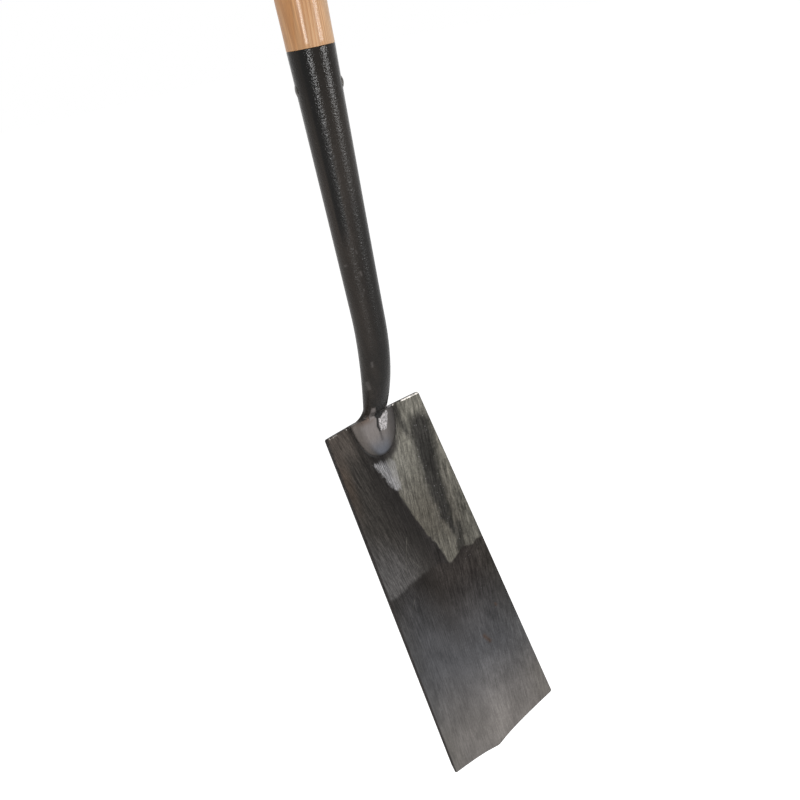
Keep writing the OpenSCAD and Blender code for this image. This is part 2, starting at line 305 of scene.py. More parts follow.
class Graph:
    """Places and links the nodes of one node tree."""

    def __init__(self, tree: bpy.types.NodeTree) -> None:
        """Takes the tree that the nodes go into."""
        self.tree = tree

    def feed(self, socket: Output, value: Value) -> None:
        """Links an output to a socket, or sets the socket's own value.

        Args:
            socket: The input socket.
            value: An output socket, a number or a tuple.
        """
        if isinstance(value, Output):
            self.tree.links.new(value, socket)
        else:
            socket.default_value = value

    def node(
        self, kind: str, inputs: dict[str | int, Value] | None = None, **settings: object
    ) -> bpy.types.Node:
        """Places a node.

        Args:
            kind: Type of the node.
            inputs: Values of its sockets, by name or number.
            settings: Values of its own settings.

        Returns:
            The node.
        """
        made = self.tree.nodes.new(kind)
        for name, value in settings.items():
            setattr(made, name, value)
        for key, value in (inputs or {}).items():
            self.feed(made.inputs[key], value)
        return made

    def math(self, operation: str, *values: Value, clamp: bool = False) -> Output:
        """Places a Math node.

        Args:
            operation: What it does.
            values: Its inputs in order.
            clamp: Whether the result is kept between 0 and 1.

        Returns:
            Its output.
        """
        made = self.node("ShaderNodeMath", dict(enumerate(values)), operation=operation, use_clamp=clamp)
        return made.outputs[0]

    def vector(self, operation: str, *values: Value) -> Output:
        """Places a Vector Math node.

        Args:
            operation: What it does.
            values: Its inputs in order.

        Returns:
            Its number, where the operation gives one, or its vector.
        """
        made = self.node("ShaderNodeVectorMath", dict(enumerate(values)), operation=operation)
        return made.outputs["Value" if operation in {"DOT_PRODUCT", "LENGTH", "DISTANCE"} else "Vector"]

    def product(self, *values: Value) -> Output:
        """Multiplies numbers.

        Args:
            values: The numbers, two or more.

        Returns:
            Their product.
        """
        result = values[0]
        for value in values[1:]:
            result = self.math("MULTIPLY", result, value)
        return result

    def line(self, value: Value, slope: Value, start: Value) -> Output:
        """Gives a straight line.

        Args:
            value: The value.
            slope: Rise of the line per unit of the value.
            start: Its height where the value is 0.

        Returns:
            The line's height.
        """
        return self.math("MULTIPLY_ADD", value, slope, start)

    def beyond(self, value: Value, start: Value) -> Output:
        """Gives how far a value lies beyond a start.

        Args:
            value: The value.
            start: The start.

        Returns:
            The distance, and 0 before the start.
        """
        return self.math("MAXIMUM", self.math("SUBTRACT", value, start), 0.0)

    def swing(self, pattern: Value, depth: Value) -> Output:
        """Turns a pattern about 0.5 into a level about 1.

        Args:
            pattern: The pattern.
            depth: How far the level swings for the pattern's full range.

        Returns:
            The level.
        """
        return self.line(self.math("SUBTRACT", pattern, 0.5), depth, 1.0)

    def spot(self, across: Value, down: Value) -> Output:
        """Joins two numbers into a place.

        Args:
            across: Place across.
            down: Place down.

        Returns:
            The place, as a vector.
        """
        return self.node("ShaderNodeCombineXYZ", {0: across, 1: down}).outputs[0]

    def bump(self, strength: float, depth: float, height: Value) -> Output:
        """Places a fine relief.

        Args:
            strength: Its strength.
            depth: Its depth, in millimetres.
            height: Its height.

        Returns:
            The normal.
        """
        inputs = {"Strength": strength, "Distance": depth * MM, "Height": height}
        return self.node("ShaderNodeBump", inputs).outputs["Normal"]

    def smooth(self, value: Value, low: Value, high: Value) -> Output:
        """Places a smooth step.

        Args:
            value: The value.
            low: Where the mask is 0.
            high: Where the mask is 1, above or below the first.

        Returns:
            The mask.
        """
        made = self.node("ShaderNodeMapRange", interpolation_type="SMOOTHSTEP")
        for name, number in (("Value", value), ("From Min", low), ("From Max", high)):
            self.feed(made.inputs[name], number)
        return made.outputs["Result"]

    def blend(self, share: Value, first: Value, second: Value) -> Output:
        """Mixes two colours.

        Args:
            share: Share of the second colour.
            first: First colour.
            second: Second colour.

        Returns:
            The mixed colour.
        """
        made = self.node("ShaderNodeMix", {0: share, 6: first, 7: second}, data_type="RGBA")
        return made.outputs[2]

    def between(self, share: Value, first: Value, second: Value) -> Output:
        """Mixes two numbers.

        Args:
            share: Share of the second number.
            first: First number.
            second: Second number.

        Returns:
            The mixed number.
        """
        made = self.node("ShaderNodeMix", {0: share, 2: first, 3: second}, data_type="FLOAT")
        return made.outputs[0]

    def scaled(self, vector: Value, level: Value) -> Output:
        """Scales a vector or a colour.

        Args:
            vector: The vector.
            level: The scale.

        Returns:
            The scaled vector.
        """
        made = self.node("ShaderNodeVectorMath", {0: vector, "Scale": level}, operation="SCALE")
        return made.outputs["Vector"]

    def stretched(self, place: Value, scale: Point, offset: Point = (0.0, 0.0, 0.0)) -> Output:
        """Stretches a pattern's places.

        Args:
            place: The places.
            scale: Scale along each axis.
            offset: Shift after it.

        Returns:
            The stretched places.
        """
        made = self.node("ShaderNodeVectorMath", {0: place, 1: scale, 2: offset}, operation="MULTIPLY_ADD")
        return made.outputs["Vector"]

    def noise(self, place: Value, scale: float, detail: float, rough: float) -> Output:
        """Places a noise.

        Args:
            place: The places.
            scale: Cells per unit of place.
            detail: Octaves.
            rough: Weight of the finer octaves.

        Returns:
            Its value, about 0.5 in the middle.
        """
        inputs = {"Vector": place, "Scale": scale, "Detail": detail, "Roughness": rough}
        return self.node("ShaderNodeTexNoise", inputs).outputs[0]

    def cells(self, place: Value, scale: float, feature: str = "F1") -> bpy.types.Node:
        """Places a cell pattern.

        Args:
            place: The places.
            scale: Cells per unit of place.
            feature: Which distance it gives.

        Returns:
            The node, with its Distance and Color.
        """
        return self.node("ShaderNodeTexVoronoi", {"Vector": place, "Scale": scale}, feature=feature)

    def effect(self, group: bpy.types.NodeTree, inputs: dict[str, Value]) -> bpy.types.Node:
        """Places a shared effect.

        Args:
            group: The effect's node group.
            inputs: Values of its sockets.

        Returns:
            The group's node.
        """
        made = self.tree.nodes.new("ShaderNodeGroup")
        made.node_tree = group
        for name, value in inputs.items():
            self.feed(made.inputs[name], value)
        return made

    def local(self, centre: Point, angles: Point = (0.0, 0.0, 0.0)) -> Output:
        """Gives a piece's own places in millimetres.

        Args:
            centre: Where the places start, in millimetres.
            angles: Turn of their axes, in radians.

        Returns:
            The places, as a vector.
        """
        own = self.node("ShaderNodeTexCoord").outputs["Object"]
        inputs = {
            "Vector": own,
            "Location": tuple(number * MM for number in centre),
            "Rotation": angles,
            "Scale": (MM, MM, MM),
        }
        return self.node("ShaderNodeMapping", inputs, vector_type="TEXTURE").outputs["Vector"]


def new_group(
    name: str, inputs: dict[str, tuple[str, Value]], outputs: dict[str, str]
) -> tuple[bpy.types.NodeTree, Graph, dict[str, Output], bpy.types.Node]:
    """Starts a shared effect.

    Args:
        name: Name of the effect.
        inputs: Type and usual value of each input.
        outputs: Type of each output.

    Returns:
        The group, its graph, its inputs by name and the node that takes its outputs.
    """
    group = bpy.data.node_groups.new(name, "ShaderNodeTree")
    for title, (kind, usual) in inputs.items():
        group.interface.new_socket(name=title, in_out="INPUT", socket_type=kind).default_value = usual
    for title, kind in outputs.items():
        group.interface.new_socket(name=title, in_out="OUTPUT", socket_type=kind)
    graph = Graph(group)
    entry = graph.node("NodeGroupInput")
    return group, graph, {title: entry.outputs[title] for title in inputs}, graph.node("NodeGroupOutput")


NUMBER = "NodeSocketFloat"
PLACE = "NodeSocketVector"


class Effects:
    """Effects that more than one finish uses, each built once as a node group."""

    def __init__(self) -> None:
        """Builds all effects."""
        self.stroke = self._stroke()
        self.streaks = self._streaks()
        self.mottle = self._mottle()
        self.growth = self._growth()

    @staticmethod
    def _stroke() -> bpy.types.NodeTree:
        """Builds a soft stroke between two spots.

        Returns:
            The group, whose Mask is 1 on the stroke.
        """
        group, graph, given, leave = new_group(
            "stroke",
            {
                "Place": (PLACE, (0.0, 0.0, 0.0)),
                "Start": (PLACE, (0.0, 0.0, 0.0)),
                "End": (PLACE, (0.0, 1.0, 0.0)),
                "Width": (NUMBER, 1.0),
                "Softness": (NUMBER, 0.5),
            },
            {"Mask": NUMBER},
        )
        reach = graph.vector("SUBTRACT", given["End"], given["Start"])
        away = graph.vector("SUBTRACT", given["Place"], given["Start"])
        square = graph.math("MAXIMUM", graph.vector("DOT_PRODUCT", reach, reach), 0.0001)
        share = graph.math("DIVIDE", graph.vector("DOT_PRODUCT", away, reach), square, clamp=True)
        nearest = graph.scaled(reach, share)
        apart = graph.vector("DISTANCE", away, nearest)
        inner = graph.math("SUBTRACT", given["Width"], given["Softness"])
        outer = graph.math("ADD", given["Width"], given["Softness"])
        graph.feed(leave.inputs["Mask"], graph.smooth(apart, outer, inner))
        return group

    @staticmethod
    def _streaks() -> bpy.types.NodeTree:
        """Builds the marks of a grinding belt, which run along the place's Z axis.

        Returns:
            The group, with a fine Tone, a broad Band and a Height.
        """
        group, graph, given, leave = new_group(
            "grinding_streaks",
            {"Place": (PLACE, (0.0, 0.0, 0.0)), "Scale": (NUMBER, 1.0)},
            {"Tone": NUMBER, "Band": NUMBER, "Height": NUMBER},
        )
        place = graph.scaled(given["Place"], given["Scale"])
        hair = graph.noise(graph.stretched(place, (0.95, 0.95, 0.1)), 1.0, 3.0, 0.65)
        line = graph.noise(graph.stretched(place, (0.4, 0.4, 0.045), (31.0, 7.0, 3.0)), 1.0, 3.0, 0.65)
        band = graph.noise(graph.stretched(place, (0.07, 0.07, 0.02), (5.0, 17.0, 9.0)), 1.0, 3.0, 0.6)
        both = graph.between(0.45, hair, line)
        graph.feed(leave.inputs["Tone"], graph.smooth(both, 0.3, 0.7))
        graph.feed(leave.inputs["Band"], graph.smooth(band, 0.25, 0.75))
        graph.feed(leave.inputs["Height"], both)
        return group

    @staticmethod
    def _mottle() -> bpy.types.NodeTree:
        """Builds an uneven skin: broad clouds, a fine orange peel and a few specks.

        Returns:
            The group, with Cloud, Peel and Speck.
        """
        group, graph, given, leave = new_group(
            "uneven_skin",
            {"Place": (PLACE, (0.0, 0.0, 0.0)), "Grain": (NUMBER, 1.0), "Rarity": (NUMBER, 0.1)},
            {"Cloud": NUMBER, "Peel": NUMBER, "Speck": NUMBER},
        )
        place = given["Place"]
        cloud = graph.noise(place, 0.045, 3.0, 0.6)
        small = graph.scaled(place, given["Grain"])
        dents = graph.cells(small, 0.55, "SMOOTH_F1").outputs["Distance"]
        ripple = graph.noise(small, 0.9, 2.0, 0.5)
        spots = graph.cells(small, 0.4)
        near = graph.smooth(spots.outputs["Distance"], 0.28, 0.1)
        chance = graph.node("ShaderNodeSeparateColor", {0: spots.outputs["Color"]}).outputs[0]
        pick = graph.math("LESS_THAN", chance, given["Rarity"])
        graph.feed(leave.inputs["Cloud"], graph.smooth(cloud, 0.3, 0.7))
        graph.feed(leave.inputs["Peel"], graph.between(0.5, dents, ripple))
        graph.feed(leave.inputs["Speck"], graph.product(near, pick))
        return group

    @staticmethod
    def _growth() -> bpy.types.NodeTree:
        """Builds the growth of straight wood along the place's Z axis.

        Returns:
            The group, with Ring (dark early wood), Fibre, Pore and Cloud.
        """
        group, graph, given, leave = new_group(
            "wood_growth",
            {"Place": (PLACE, (0.0, 0.0, 0.0)), "Pith": (PLACE, (70.0, 25.0, 0.0)), "Spacing": (NUMBER, 2.4)},
            {"Ring": NUMBER, "Fibre": NUMBER, "Pore": NUMBER, "Cloud": NUMBER},
        )
        place = given["Place"]
        sway = graph.noise(graph.stretched(place, (0.02, 0.02, 0.0035)), 1.0, 2.0, 0.5)
        away = graph.vector("MULTIPLY", graph.vector("SUBTRACT", place, given["Pith"]), (1.0, 1.0, 0.0))
        reach = graph.line(sway, 11.0, graph.vector("LENGTH", away))
        count = graph.math("DIVIDE", reach, given["Spacing"])
        part = graph.math("FRACT", count)
        early = graph.product(graph.smooth(part, 0.0, 0.12), graph.smooth(part, 0.75, 0.16))
        fibre = graph.noise(graph.stretched(place, (1.1, 1.1, 0.014)), 1.0, 4.0, 0.65)
        dash = graph.noise(graph.stretched(place, (3.2, 3.2, 0.07), (13.0, 5.0, 1.0)), 1.0, 1.0, 0.5)
        pore = graph.product(graph.smooth(dash, 0.62, 0.72), early)
        cloud = graph.noise(graph.stretched(place, (0.05, 0.05, 0.006), (3.0, 9.0, 4.0)), 1.0, 2.0, 0.5)
        graph.feed(leave.inputs["Ring"], early)
        graph.feed(leave.inputs["Fibre"], graph.smooth(fibre, 0.3, 0.7))
        graph.feed(leave.inputs["Pore"], pore)
        graph.feed(leave.inputs["Cloud"], graph.smooth(cloud, 0.3, 0.7))
        return group


def new_material(name: str) -> tuple[bpy.types.Material, Graph, bpy.types.Node]:
    """Starts a material.

    Args:
        name: Name of the material.

    Returns:
        The material, its graph and its Principled shader.
    """
    material = bpy.data.materials.new(name)
    material.use_nodes = True
    material.node_tree.nodes.clear()
    graph = Graph(material.node_tree)
    shader = graph.node("ShaderNodeBsdfPrincipled")
    leave = graph.node("ShaderNodeOutputMaterial")
    graph.feed(leave.inputs["Surface"], shader.outputs["BSDF"])
    return material, graph, shader


@dataclass(frozen=True)
class Stroke:
    """A stroke on the blade's face: two spots across and down, its half width and its softness."""

    start: Spot
    end: Spot
    width: float
    softness: float

    def mask(self, graph: Graph, effects: Effects, place: Value) -> Output:
        """Places the stroke in a material.

        Args:
            graph: The material's graph.
            effects: The shared effects.
            place: Places across and down.

        Returns:
            The stroke's mask.
        """
        inputs = {
            "Place": place,
            "Start": (*self.start, 0.0),
            "End": (*self.end, 0.0),
            "Width": self.width,
            "Softness": self.softness,
        }
        return graph.effect(effects.stroke, inputs).outputs["Mask"]


def inside(graph: Graph, place: Value, corners: Sequence[Spot], softness: float) -> Output:
    """Fills a patch with straight sides.

    Args:
        graph: The material's graph.
        place: Places across and down.
        corners: The patch's corners, in turn with the inside to the right as seen with down below.
        softness: Half of the width over which its edge fades.

    Returns:
        The patch's mask.
    """
    depth = None
    for start, end in zip(corners, (*corners[1:], corners[0])):
        length = math.hypot(end[0] - start[0], end[1] - start[1])
        inward = ((start[1] - end[1]) / length, (end[0] - start[0]) / length, 0.0)
        away = graph.vector("SUBTRACT", place, (*start, 0.0))
        reach = graph.vector("DOT_PRODUCT", away, inward)
        depth = reach if depth is None else graph.math("MINIMUM", depth, reach)
    return graph.smooth(depth, -softness, softness)


def any_of(graph: Graph, masks: Sequence[Output]) -> Output:
    """Joins masks.

    Args:
        graph: The material's graph.
        masks: The masks.

    Returns:
        The greatest of them at each place.
    """
    joined = masks[0]
    for mask in masks[1:]:
        joined = graph.math("MAXIMUM", joined, mask)
    return joined


def drawn(graph: Graph, effects: Effects, place: Value, marks: Sequence[Stroke]) -> Output:
    """Draws strokes.

    Args:
        graph: The material's graph.
        effects: The shared effects.
        place: Places across and down.
        marks: The strokes.

    Returns:
        Their joined mask.
    """
    return any_of(graph, [mark.mask(graph, effects, place) for mark in marks])


@dataclass(frozen=True)
class Lean:
    """Frame of the blade: its lean against the shaft, and the bottom of the dish at the top edge."""

    angle: float = math.radians(14.5)
    set_back: float = 27.0
    top: float = -566.0

    def point(self, across: float, rise: float, down: float) -> Point:
        """Gives a point of the part's frame.

        Args:
            across: Place across the blade.
            rise: Rise from the bottom of the dish.
            down: Place down the blade.

        Returns:
            The point.
        """
        sine, cosine = math.sin(self.angle), math.cos(self.angle)
        return (across, self.set_back - rise * cosine - down * sine, self.top + rise * sine - down * cosine)

    def places(self, graph: Graph) -> tuple[Output, dict[str, Output]]:
        """Gives the blade's own places in a material.

        Args:
            graph: The material's graph.

        Returns:
            The places with Z up the blade, and the numbers across, rise and down.
        """
        own = graph.local((0.0, self.set_back, self.top), (-self.angle, 0.0, 0.0))
        parts = graph.node("ShaderNodeSeparateXYZ", {0: own})
        numbers = {
            "across": parts.outputs["X"],
            "rise": graph.product(parts.outputs["Y"], -1.0),
            "down": graph.product(parts.outputs["Z"], -1.0),
        }
        return own, numbers

    def facing(self, graph: Graph) -> Output:
        """Gives how far a face turns to the blade's front.

        Args:
            graph: The material's graph.

        Returns:
            1 on the front, 0 on a side and -1 on the back.
        """
        normal = graph.node("ShaderNodeTexCoord").outputs["Normal"]
        return graph.vector("DOT_PRODUCT", normal, (0.0, -math.cos(self.angle), math.sin(self.angle)))


@dataclass(frozen=True)
class Face:
    """Places on the blade's front: as they are, ragged along the grinding marks, and half as ragged."""

    across: Output
    down: Output
    calm: Output
    ragged_across: Output
    ragged_down: Output
    ragged: Output
    crisp_across: Output
    crisp_down: Output


def tongue_reach(graph: Graph, place: Value, toe: Spot) -> Output:
    """Gives how far a place lies from the root of the socket's tongue.

    Args:
        graph: The material's graph.
        place: Places across and down.
        toe: Half of the tongue's width, and its length.

    Returns:
        0 at the root and 1 on the tongue's outline.
    """
    return graph.vector("LENGTH", graph.vector("DIVIDE", place, (*toe, 1.0)))


def heated(graph: Graph, rim: Value, across: Value, down: Value) -> Output:
    """Keeps the dull, heated rim of the weld to the left of the tongue and its end.

    Args:
        graph: The material's graph.
        rim: Mask of the whole rim.
        across: Place across the blade.
        down: Place down the blade.

    Returns:
        The rim's mask.
    """
    left = graph.smooth(across, -4.0, -20.0)
    return graph.product(rim, left, graph.between(graph.smooth(down, 12.0, 28.0), 0.4, 1.0))


@dataclass(frozen=True)
class GroundSteel:
    """Finish of the blade: belt-ground steel with scratches, dark and rusty places, a painted reflection of a
    lamp, a painted bright reflection below the tongue and painted shade.
    """

    blade: "Blade"
    toe: Spot
    # Tone of painted shade and shadow.
    shade_tone: tuple = tone(38, 36, 35)
    streak_dark: tuple = tone(42, 41, 39)
    dark: tuple = tone(56, 53, 50)
    # Tone of scratches and of the painted lamp reflection.
    burnish_and_reflection: tuple = tone(86, 84, 78)
    glow: tuple = tone(94, 92, 86)
    strip: tuple = tone(74, 71, 65)
    smoky: tuple = tone(85, 83, 82)
    brown: tuple = tone(76, 66, 58)
    head: tuple = tone(80, 74, 69)
    rust: tuple = tone(70, 57, 50)
    # Tone of specks and of the painted bright reflection below the tongue.
    polished_and_reflection: tuple = tone(138, 137, 138)
    # Tone of wear and of a painted highlight on the top edge.
    worn_and_highlit: tuple = tone(204, 199, 193)
    lower: tuple = tone(43, 40, 38)
    middle: tuple = tone(75, 75, 77)
    edge: tuple = tone(108, 104, 101)
    side: tuple = tone(46, 43, 41)
    rear: tuple = tone(84, 81, 77)
    streak_marks: tuple[Stroke, ...] = (
        Stroke((46.2, 28.5), (43.8, 38.0), 11.2, 5.6),
        Stroke((43.8, 38.0), (41.4, 57.0), 11.0, 5.8),
        Stroke((41.8, 57.0), (38.2, 75.0), 9.6, 5.6),
        Stroke((38.2, 75.0), (38.0, 94.0), 9.0, 5.4),
        Stroke((38.0, 94.0), (37.0, 112.0), 7.0, 4.8),
        Stroke((37.0, 112.0), (37.6, 120.0), 4.6, 3.6),
        Stroke((37.6, 120.0), (38.8, 132.0), 2.8, 2.6),
    )
    small_marks: tuple[Stroke, ...] = (
        Stroke((28.4, 4.0), (28.8, 16.0), 3.0, 2.8),
        Stroke((28.8, 16.0), (30.6, 29.0), 2.8, 3.0),
    )
    corner_marks: tuple[Stroke, ...] = (
        Stroke((45.0, 128.0), (41.0, 142.0), 4.2, 2.8),
        Stroke((41.0, 142.0), (38.4, 146.0), 4.2, 2.6),
    )
    trail_marks: tuple[Stroke, ...] = (
        Stroke((29.0, 104.0), (26.6, 122.0), 1.4, 2.4),
        Stroke((26.6, 122.0), (26.8, 138.0), 1.1, 2.2),
    )
    rust_marks: tuple[Stroke, ...] = (
        Stroke((49.4, 212.0), (49.8, 213.5), 0.8, 1.4),
        Stroke((27.5, 234.0), (31.0, 241.0), 1.3, 2.0),
    )
    scratch_marks: tuple[Stroke, ...] = (
        Stroke((-11.4, 113.8), (-30.7, 143.0), 0.3, 0.25),
        Stroke((-20.8, 125.9), (-9.6, 145.4), 0.15, 0.2),
        Stroke((-39.3, 171.4), (-31.6, 165.4), 0.2, 0.25),
        Stroke((-62.9, 215.7), (-58.4, 222.0), 0.15, 0.2),
    )
    reflection_corners: tuple[Spot, ...] = ((-16.4, 40.0), (6.0, 44.0), (7.6, 51.0), (3.5, 73.0), (-4.0, 72.0))

    def material(self, effects: Effects) -> bpy.types.Material:
        """Builds the material.

        Args:
            effects: The shared effects.

        Returns:
            The material.
        """
        material, graph, shader = new_material("ground_steel")
        own, at = self.blade.lean.places(graph)
        facing = self.blade.lean.facing(graph)
        belt = self._belt(graph, at)
        streaks = graph.effect(effects.streaks, {"Place": belt, "Scale": 1.0}).outputs
        skin = graph.effect(effects.mottle, {"Place": own, "Grain": 1.3, "Rarity": 0.16}).outputs
        face = self._face(graph, at, streaks)
        colour = self._front(graph, effects, face, streaks, skin)
        rear = graph.blend(skin["Cloud"], self.rear, self.smoky)
        colour = graph.blend(graph.smooth(facing, -0.3, 0.1), rear, colour)
        flank = graph.smooth(graph.math("ABSOLUTE", facing), 0.6, 0.25)
        colour = graph.blend(flank, colour, self.side)
        colour = self._treads(graph, colour, face, facing)
        level = self._level(graph, face, belt, own, streaks)
        graph.feed(shader.inputs["Base Color"], graph.scaled(colour, level))
        rim = graph.smooth(tongue_reach(graph, face.calm, self.toe), 1.08, 1.0)
        weld = heated(graph, rim, face.across, face.down)
        graph.feed(shader.inputs["Metallic"], graph.line(weld, -0.85, 1.0))
        graph.feed(shader.inputs["Roughness"], graph.line(streaks["Band"], 0.12, 0.4))
        graph.feed(shader.inputs["Normal"], graph.bump(0.12, 0.2, streaks["Height"]))
        return material

    @staticmethod
    def _belt(graph: Graph, at: dict[str, Output]) -> Output:
        """Bends the places so that the grinding marks fan out, and slant where a second pass cut.

        Args:
            graph: The material's graph.
            at: The numbers across, rise and down.

        Returns:
            The bent places, along whose Z axis the marks run.
        """
        across, down = at["across"], at["down"]
        fan_reach, fan_slope, fan_end = 20.0, 0.22, 170.0
        pass_slope, low_start, low_slope = 0.18, 165.0, 0.17
        spread = graph.math("SQRT", graph.math("MULTIPLY_ADD", across, across, fan_reach**2))
        fan = graph.product(graph.math("DIVIDE", across, spread), fan_slope)
        rest = graph.line(graph.beyond(down, 88.0), 0.315, 1.8)
        second = graph.smooth(graph.math("SUBTRACT", across, rest), -1.0, 1.0)
        second = graph.product(second, graph.smooth(down, 157.0, 153.0))
        fanned = graph.math("SMOOTH_MIN", down, fan_end, 60.0)
        drift = graph.product(graph.between(second, fan, pass_slope), fanned)
        drift = graph.line(graph.beyond(down, low_start), low_slope, drift)
        bent = {0: graph.math("ADD", across, drift), 1: at["rise"], 2: down}
        return graph.node("ShaderNodeCombineXYZ", bent).outputs[0]

    @staticmethod
    def _face(graph: Graph, at: dict[str, Output], streaks: dict) -> Face:
        """Lets the edges of the zones follow the grinding marks.

        Args:
            graph: The material's graph.
            at: The numbers across, rise and down.
            streaks: Outputs of the grinding marks.

        Returns:
            The places, calm and ragged.
        """
        across, down = at["across"], at["down"]
        calm = graph.spot(across, down)
        hairs = graph.line(streaks["Height"], 9.0, -4.5)
        bands = graph.line(streaks["Band"], 6.0, -3.0)
        lower = graph.math("ADD", down, graph.math("ADD", hairs, bands))
        crumble = graph.line(graph.noise(calm, 0.16, 4.0, 0.6), 8.0, -4.0)
        aside = graph.math("ADD", across, graph.line(streaks["Height"], 4.0, crumble))
        aside = graph.math("SUBTRACT", aside, 2.0)
        return Face(
            across=across,
            down=down,
            calm=calm,
            ragged_across=aside,
            ragged_down=lower,
            ragged=graph.spot(aside, lower),
            crisp_across=graph.between(0.5, across, aside),
            crisp_down=graph.between(0.5, down, lower),
        )

    @staticmethod
    def _level(graph: Graph, face: Face, belt: Value, own: Value, streaks: dict) -> Output:
        """Gives how light the steel is, with a painted light level that is lighter on the left and towards
        the cutting edge.

        Args:
            graph: The material's graph.
            face: Places across and down.
            belt: Places bent along the grinding marks.
            own: The blade's own places.
            streaks: Outputs of the grinding marks.

        Returns:
            The level, about 1.
        """
        marks = graph.swing(streaks["Tone"], graph.between(graph.smooth(face.down, 150.0, 280.0), 0.95, 0.3))
        # Painted light level: lighter on the left than on the right, and lighter towards the cutting edge.
        toward_edge = graph.smooth(face.down, 240.0, 300.0)
        left = graph.between(toward_edge, 0.97, 0.83)
        right = graph.between(toward_edge, 0.7, 0.75)
        light_across = graph.between(graph.smooth(face.across, -50.0, 40.0), left, right)
        light_down = graph.between(graph.smooth(face.down, 100.0, 310.0), 0.87, 1.07)
        fine = graph.between(graph.smooth(face.down, 150.0, 210.0), 1.5, 0.8)
        grain = graph.noise(graph.stretched(belt, (0.6, 0.6, 0.09)), 1.0, 3.0, 0.65)
        pits = graph.noise(own, 0.55, 3.0, 0.7)
        pitted = graph.swing(pits, graph.product(fine, 0.8))
        return graph.product(marks, light_across, light_down, graph.swing(grain, fine), pitted)

    def _front(self, graph: Graph, effects: Effects, face: Face, streaks: dict, skin: dict) -> Output:
        """Builds the colour of the blade's front.

        Args:
            graph: The material's graph.
            effects: The shared effects.
            face: Places across and down.
            streaks: Outputs of the grinding marks.
            skin: Outputs of the uneven skin.

        Returns:
            The colour.
        """
        past = self._past(graph, face)
        inset = self._inset(graph, face)
        streak = self._streak(graph, effects, face)
        colour = self._dark(graph, face, past, inset)
        # Painted reflection of a lamp on the right of the upper half.
        colour = graph.blend(graph.smooth(past, -1.3, 1.3), colour, self._lamp_reflection(graph, face, streak))
        colour = graph.blend(self._below(graph, face), colour, self._low(graph, face, skin))
        # Painted bright reflection in a wedge below the tongue.
        patch = graph.product(self._reflection_wedge(graph, face), graph.line(streaks["Tone"], 0.9, 0.25))
        colour = graph.blend(patch, colour, self.polished_and_reflection)
        # Painted shadow round the tongue.
        colour = graph.blend(self._shadow(graph, face), colour, self.shade_tone)
        # Painted shade along the blade's left side.
        edge_shade = graph.smooth(inset, 1.6, 0.6)
        colour = graph.blend(graph.product(edge_shade, 0.8), colour, self.shade_tone)
        rusty = drawn(graph, effects, face.calm, self.rust_marks)
        colour = graph.blend(graph.product(rusty, 0.9), colour, self.rust)
        scratches = drawn(graph, effects, face.calm, self.scratch_marks)
        colour = graph.blend(graph.product(scratches, 0.85), colour, self.burnish_and_reflection)
        bits = graph.product(skin["Speck"], graph.line(streak, 0.4, 0.03))
        return graph.blend(bits, colour, self.polished_and_reflection)

    @staticmethod
    def _past(graph: Graph, face: Face) -> Output:
        """Measures from the bent left edge of the light area, which is three straight lines.

        Args:
            graph: The material's graph.
            face: Places across and down.

        Returns:
            The distance to the right of the edge.
        """
        bend = graph.line(face.crisp_down, 0.25, -19.98)
        bend = graph.math("MAXIMUM", bend, graph.line(face.crisp_down, 0.343, -29.7))
        bend = graph.math("MINIMUM", bend, graph.line(face.crisp_down, 0.24, -15.16))
        return graph.math("SUBTRACT", face.crisp_across, graph.math("MAXIMUM", bend, -0.6))

    def _inset(self, graph: Graph, face: Face) -> Output:
        """Measures from the blade's left side.

        Args:
            graph: The material's graph.
            face: Places across and down.

        Returns:
            The distance in from the side.
        """
        slope = (self.blade.edge_width - self.blade.top_width) / 2 / self.blade.length
        half = graph.line(face.ragged_down, slope, self.blade.top_width / 2)
        return graph.math("ADD", face.across, half)

    def _dark(self, graph: Graph, face: Face, past: Value, inset: Value) -> Output:
        """Builds the dark area on the left of the upper half.

        Args:
            graph: The material's graph.
            face: Places across and down.
            past: Distance to the right of the light area's edge.
            inset: Distance in from the left side.

        Returns:
            Its colour.
        """
        across, down = face.ragged_across, face.ragged_down
        # Painted shade, darkest next to the light area's edge.
        colour = graph.blend(graph.smooth(past, -42.0, -3.0), self.dark, self.shade_tone)
        tan = graph.product(graph.smooth(inset, 17.0, 4.0), graph.smooth(down, 90.0, 40.0), 0.75)
        colour = graph.blend(tan, colour, self.brown)
        head = graph.product(graph.smooth(down, 40.0, 12.0), graph.smooth(across, -22.0, -36.0), 0.85)
        colour = graph.blend(head, colour, self.head)
        rising = graph.line(graph.math("ADD", across, 32.0), -0.5, down)
        smoke = graph.product(graph.smooth(rising, 97.0, 142.0), graph.smooth(across, 8.0, -40.0))
        return graph.blend(smoke, colour, self.smoky)

    def _streak(self, graph: Graph, effects: Effects, face: Face) -> Output:
        """Builds the dark streaks on the light area.

        Args:
            graph: The material's graph.
            effects: The shared effects.
            face: Places across and down.

        Returns:
            Their mask.
        """
        spread = graph.stretched(face.ragged, (0.12, 0.06, 0.0), (4.0, 2.0, 0.0))
        blotch = graph.smooth(graph.noise(spread, 1.0, 3.0, 0.65), 0.4, 0.65)
        low_down = graph.smooth(face.ragged_down, 45.0, 80.0)
        far_right = graph.smooth(face.ragged_across, 30.0, 44.0)
        masks = [graph.product(blotch, low_down, far_right, 0.55)]
        weighted = (
            (self.streak_marks, 1.0),
            (self.small_marks, 0.85),
            (self.corner_marks, 0.8),
            (self.trail_marks, 0.4),
        )
        for marks, weight in weighted:
            masks.append(graph.product(drawn(graph, effects, face.ragged, marks), weight))
        return any_of(graph, masks)

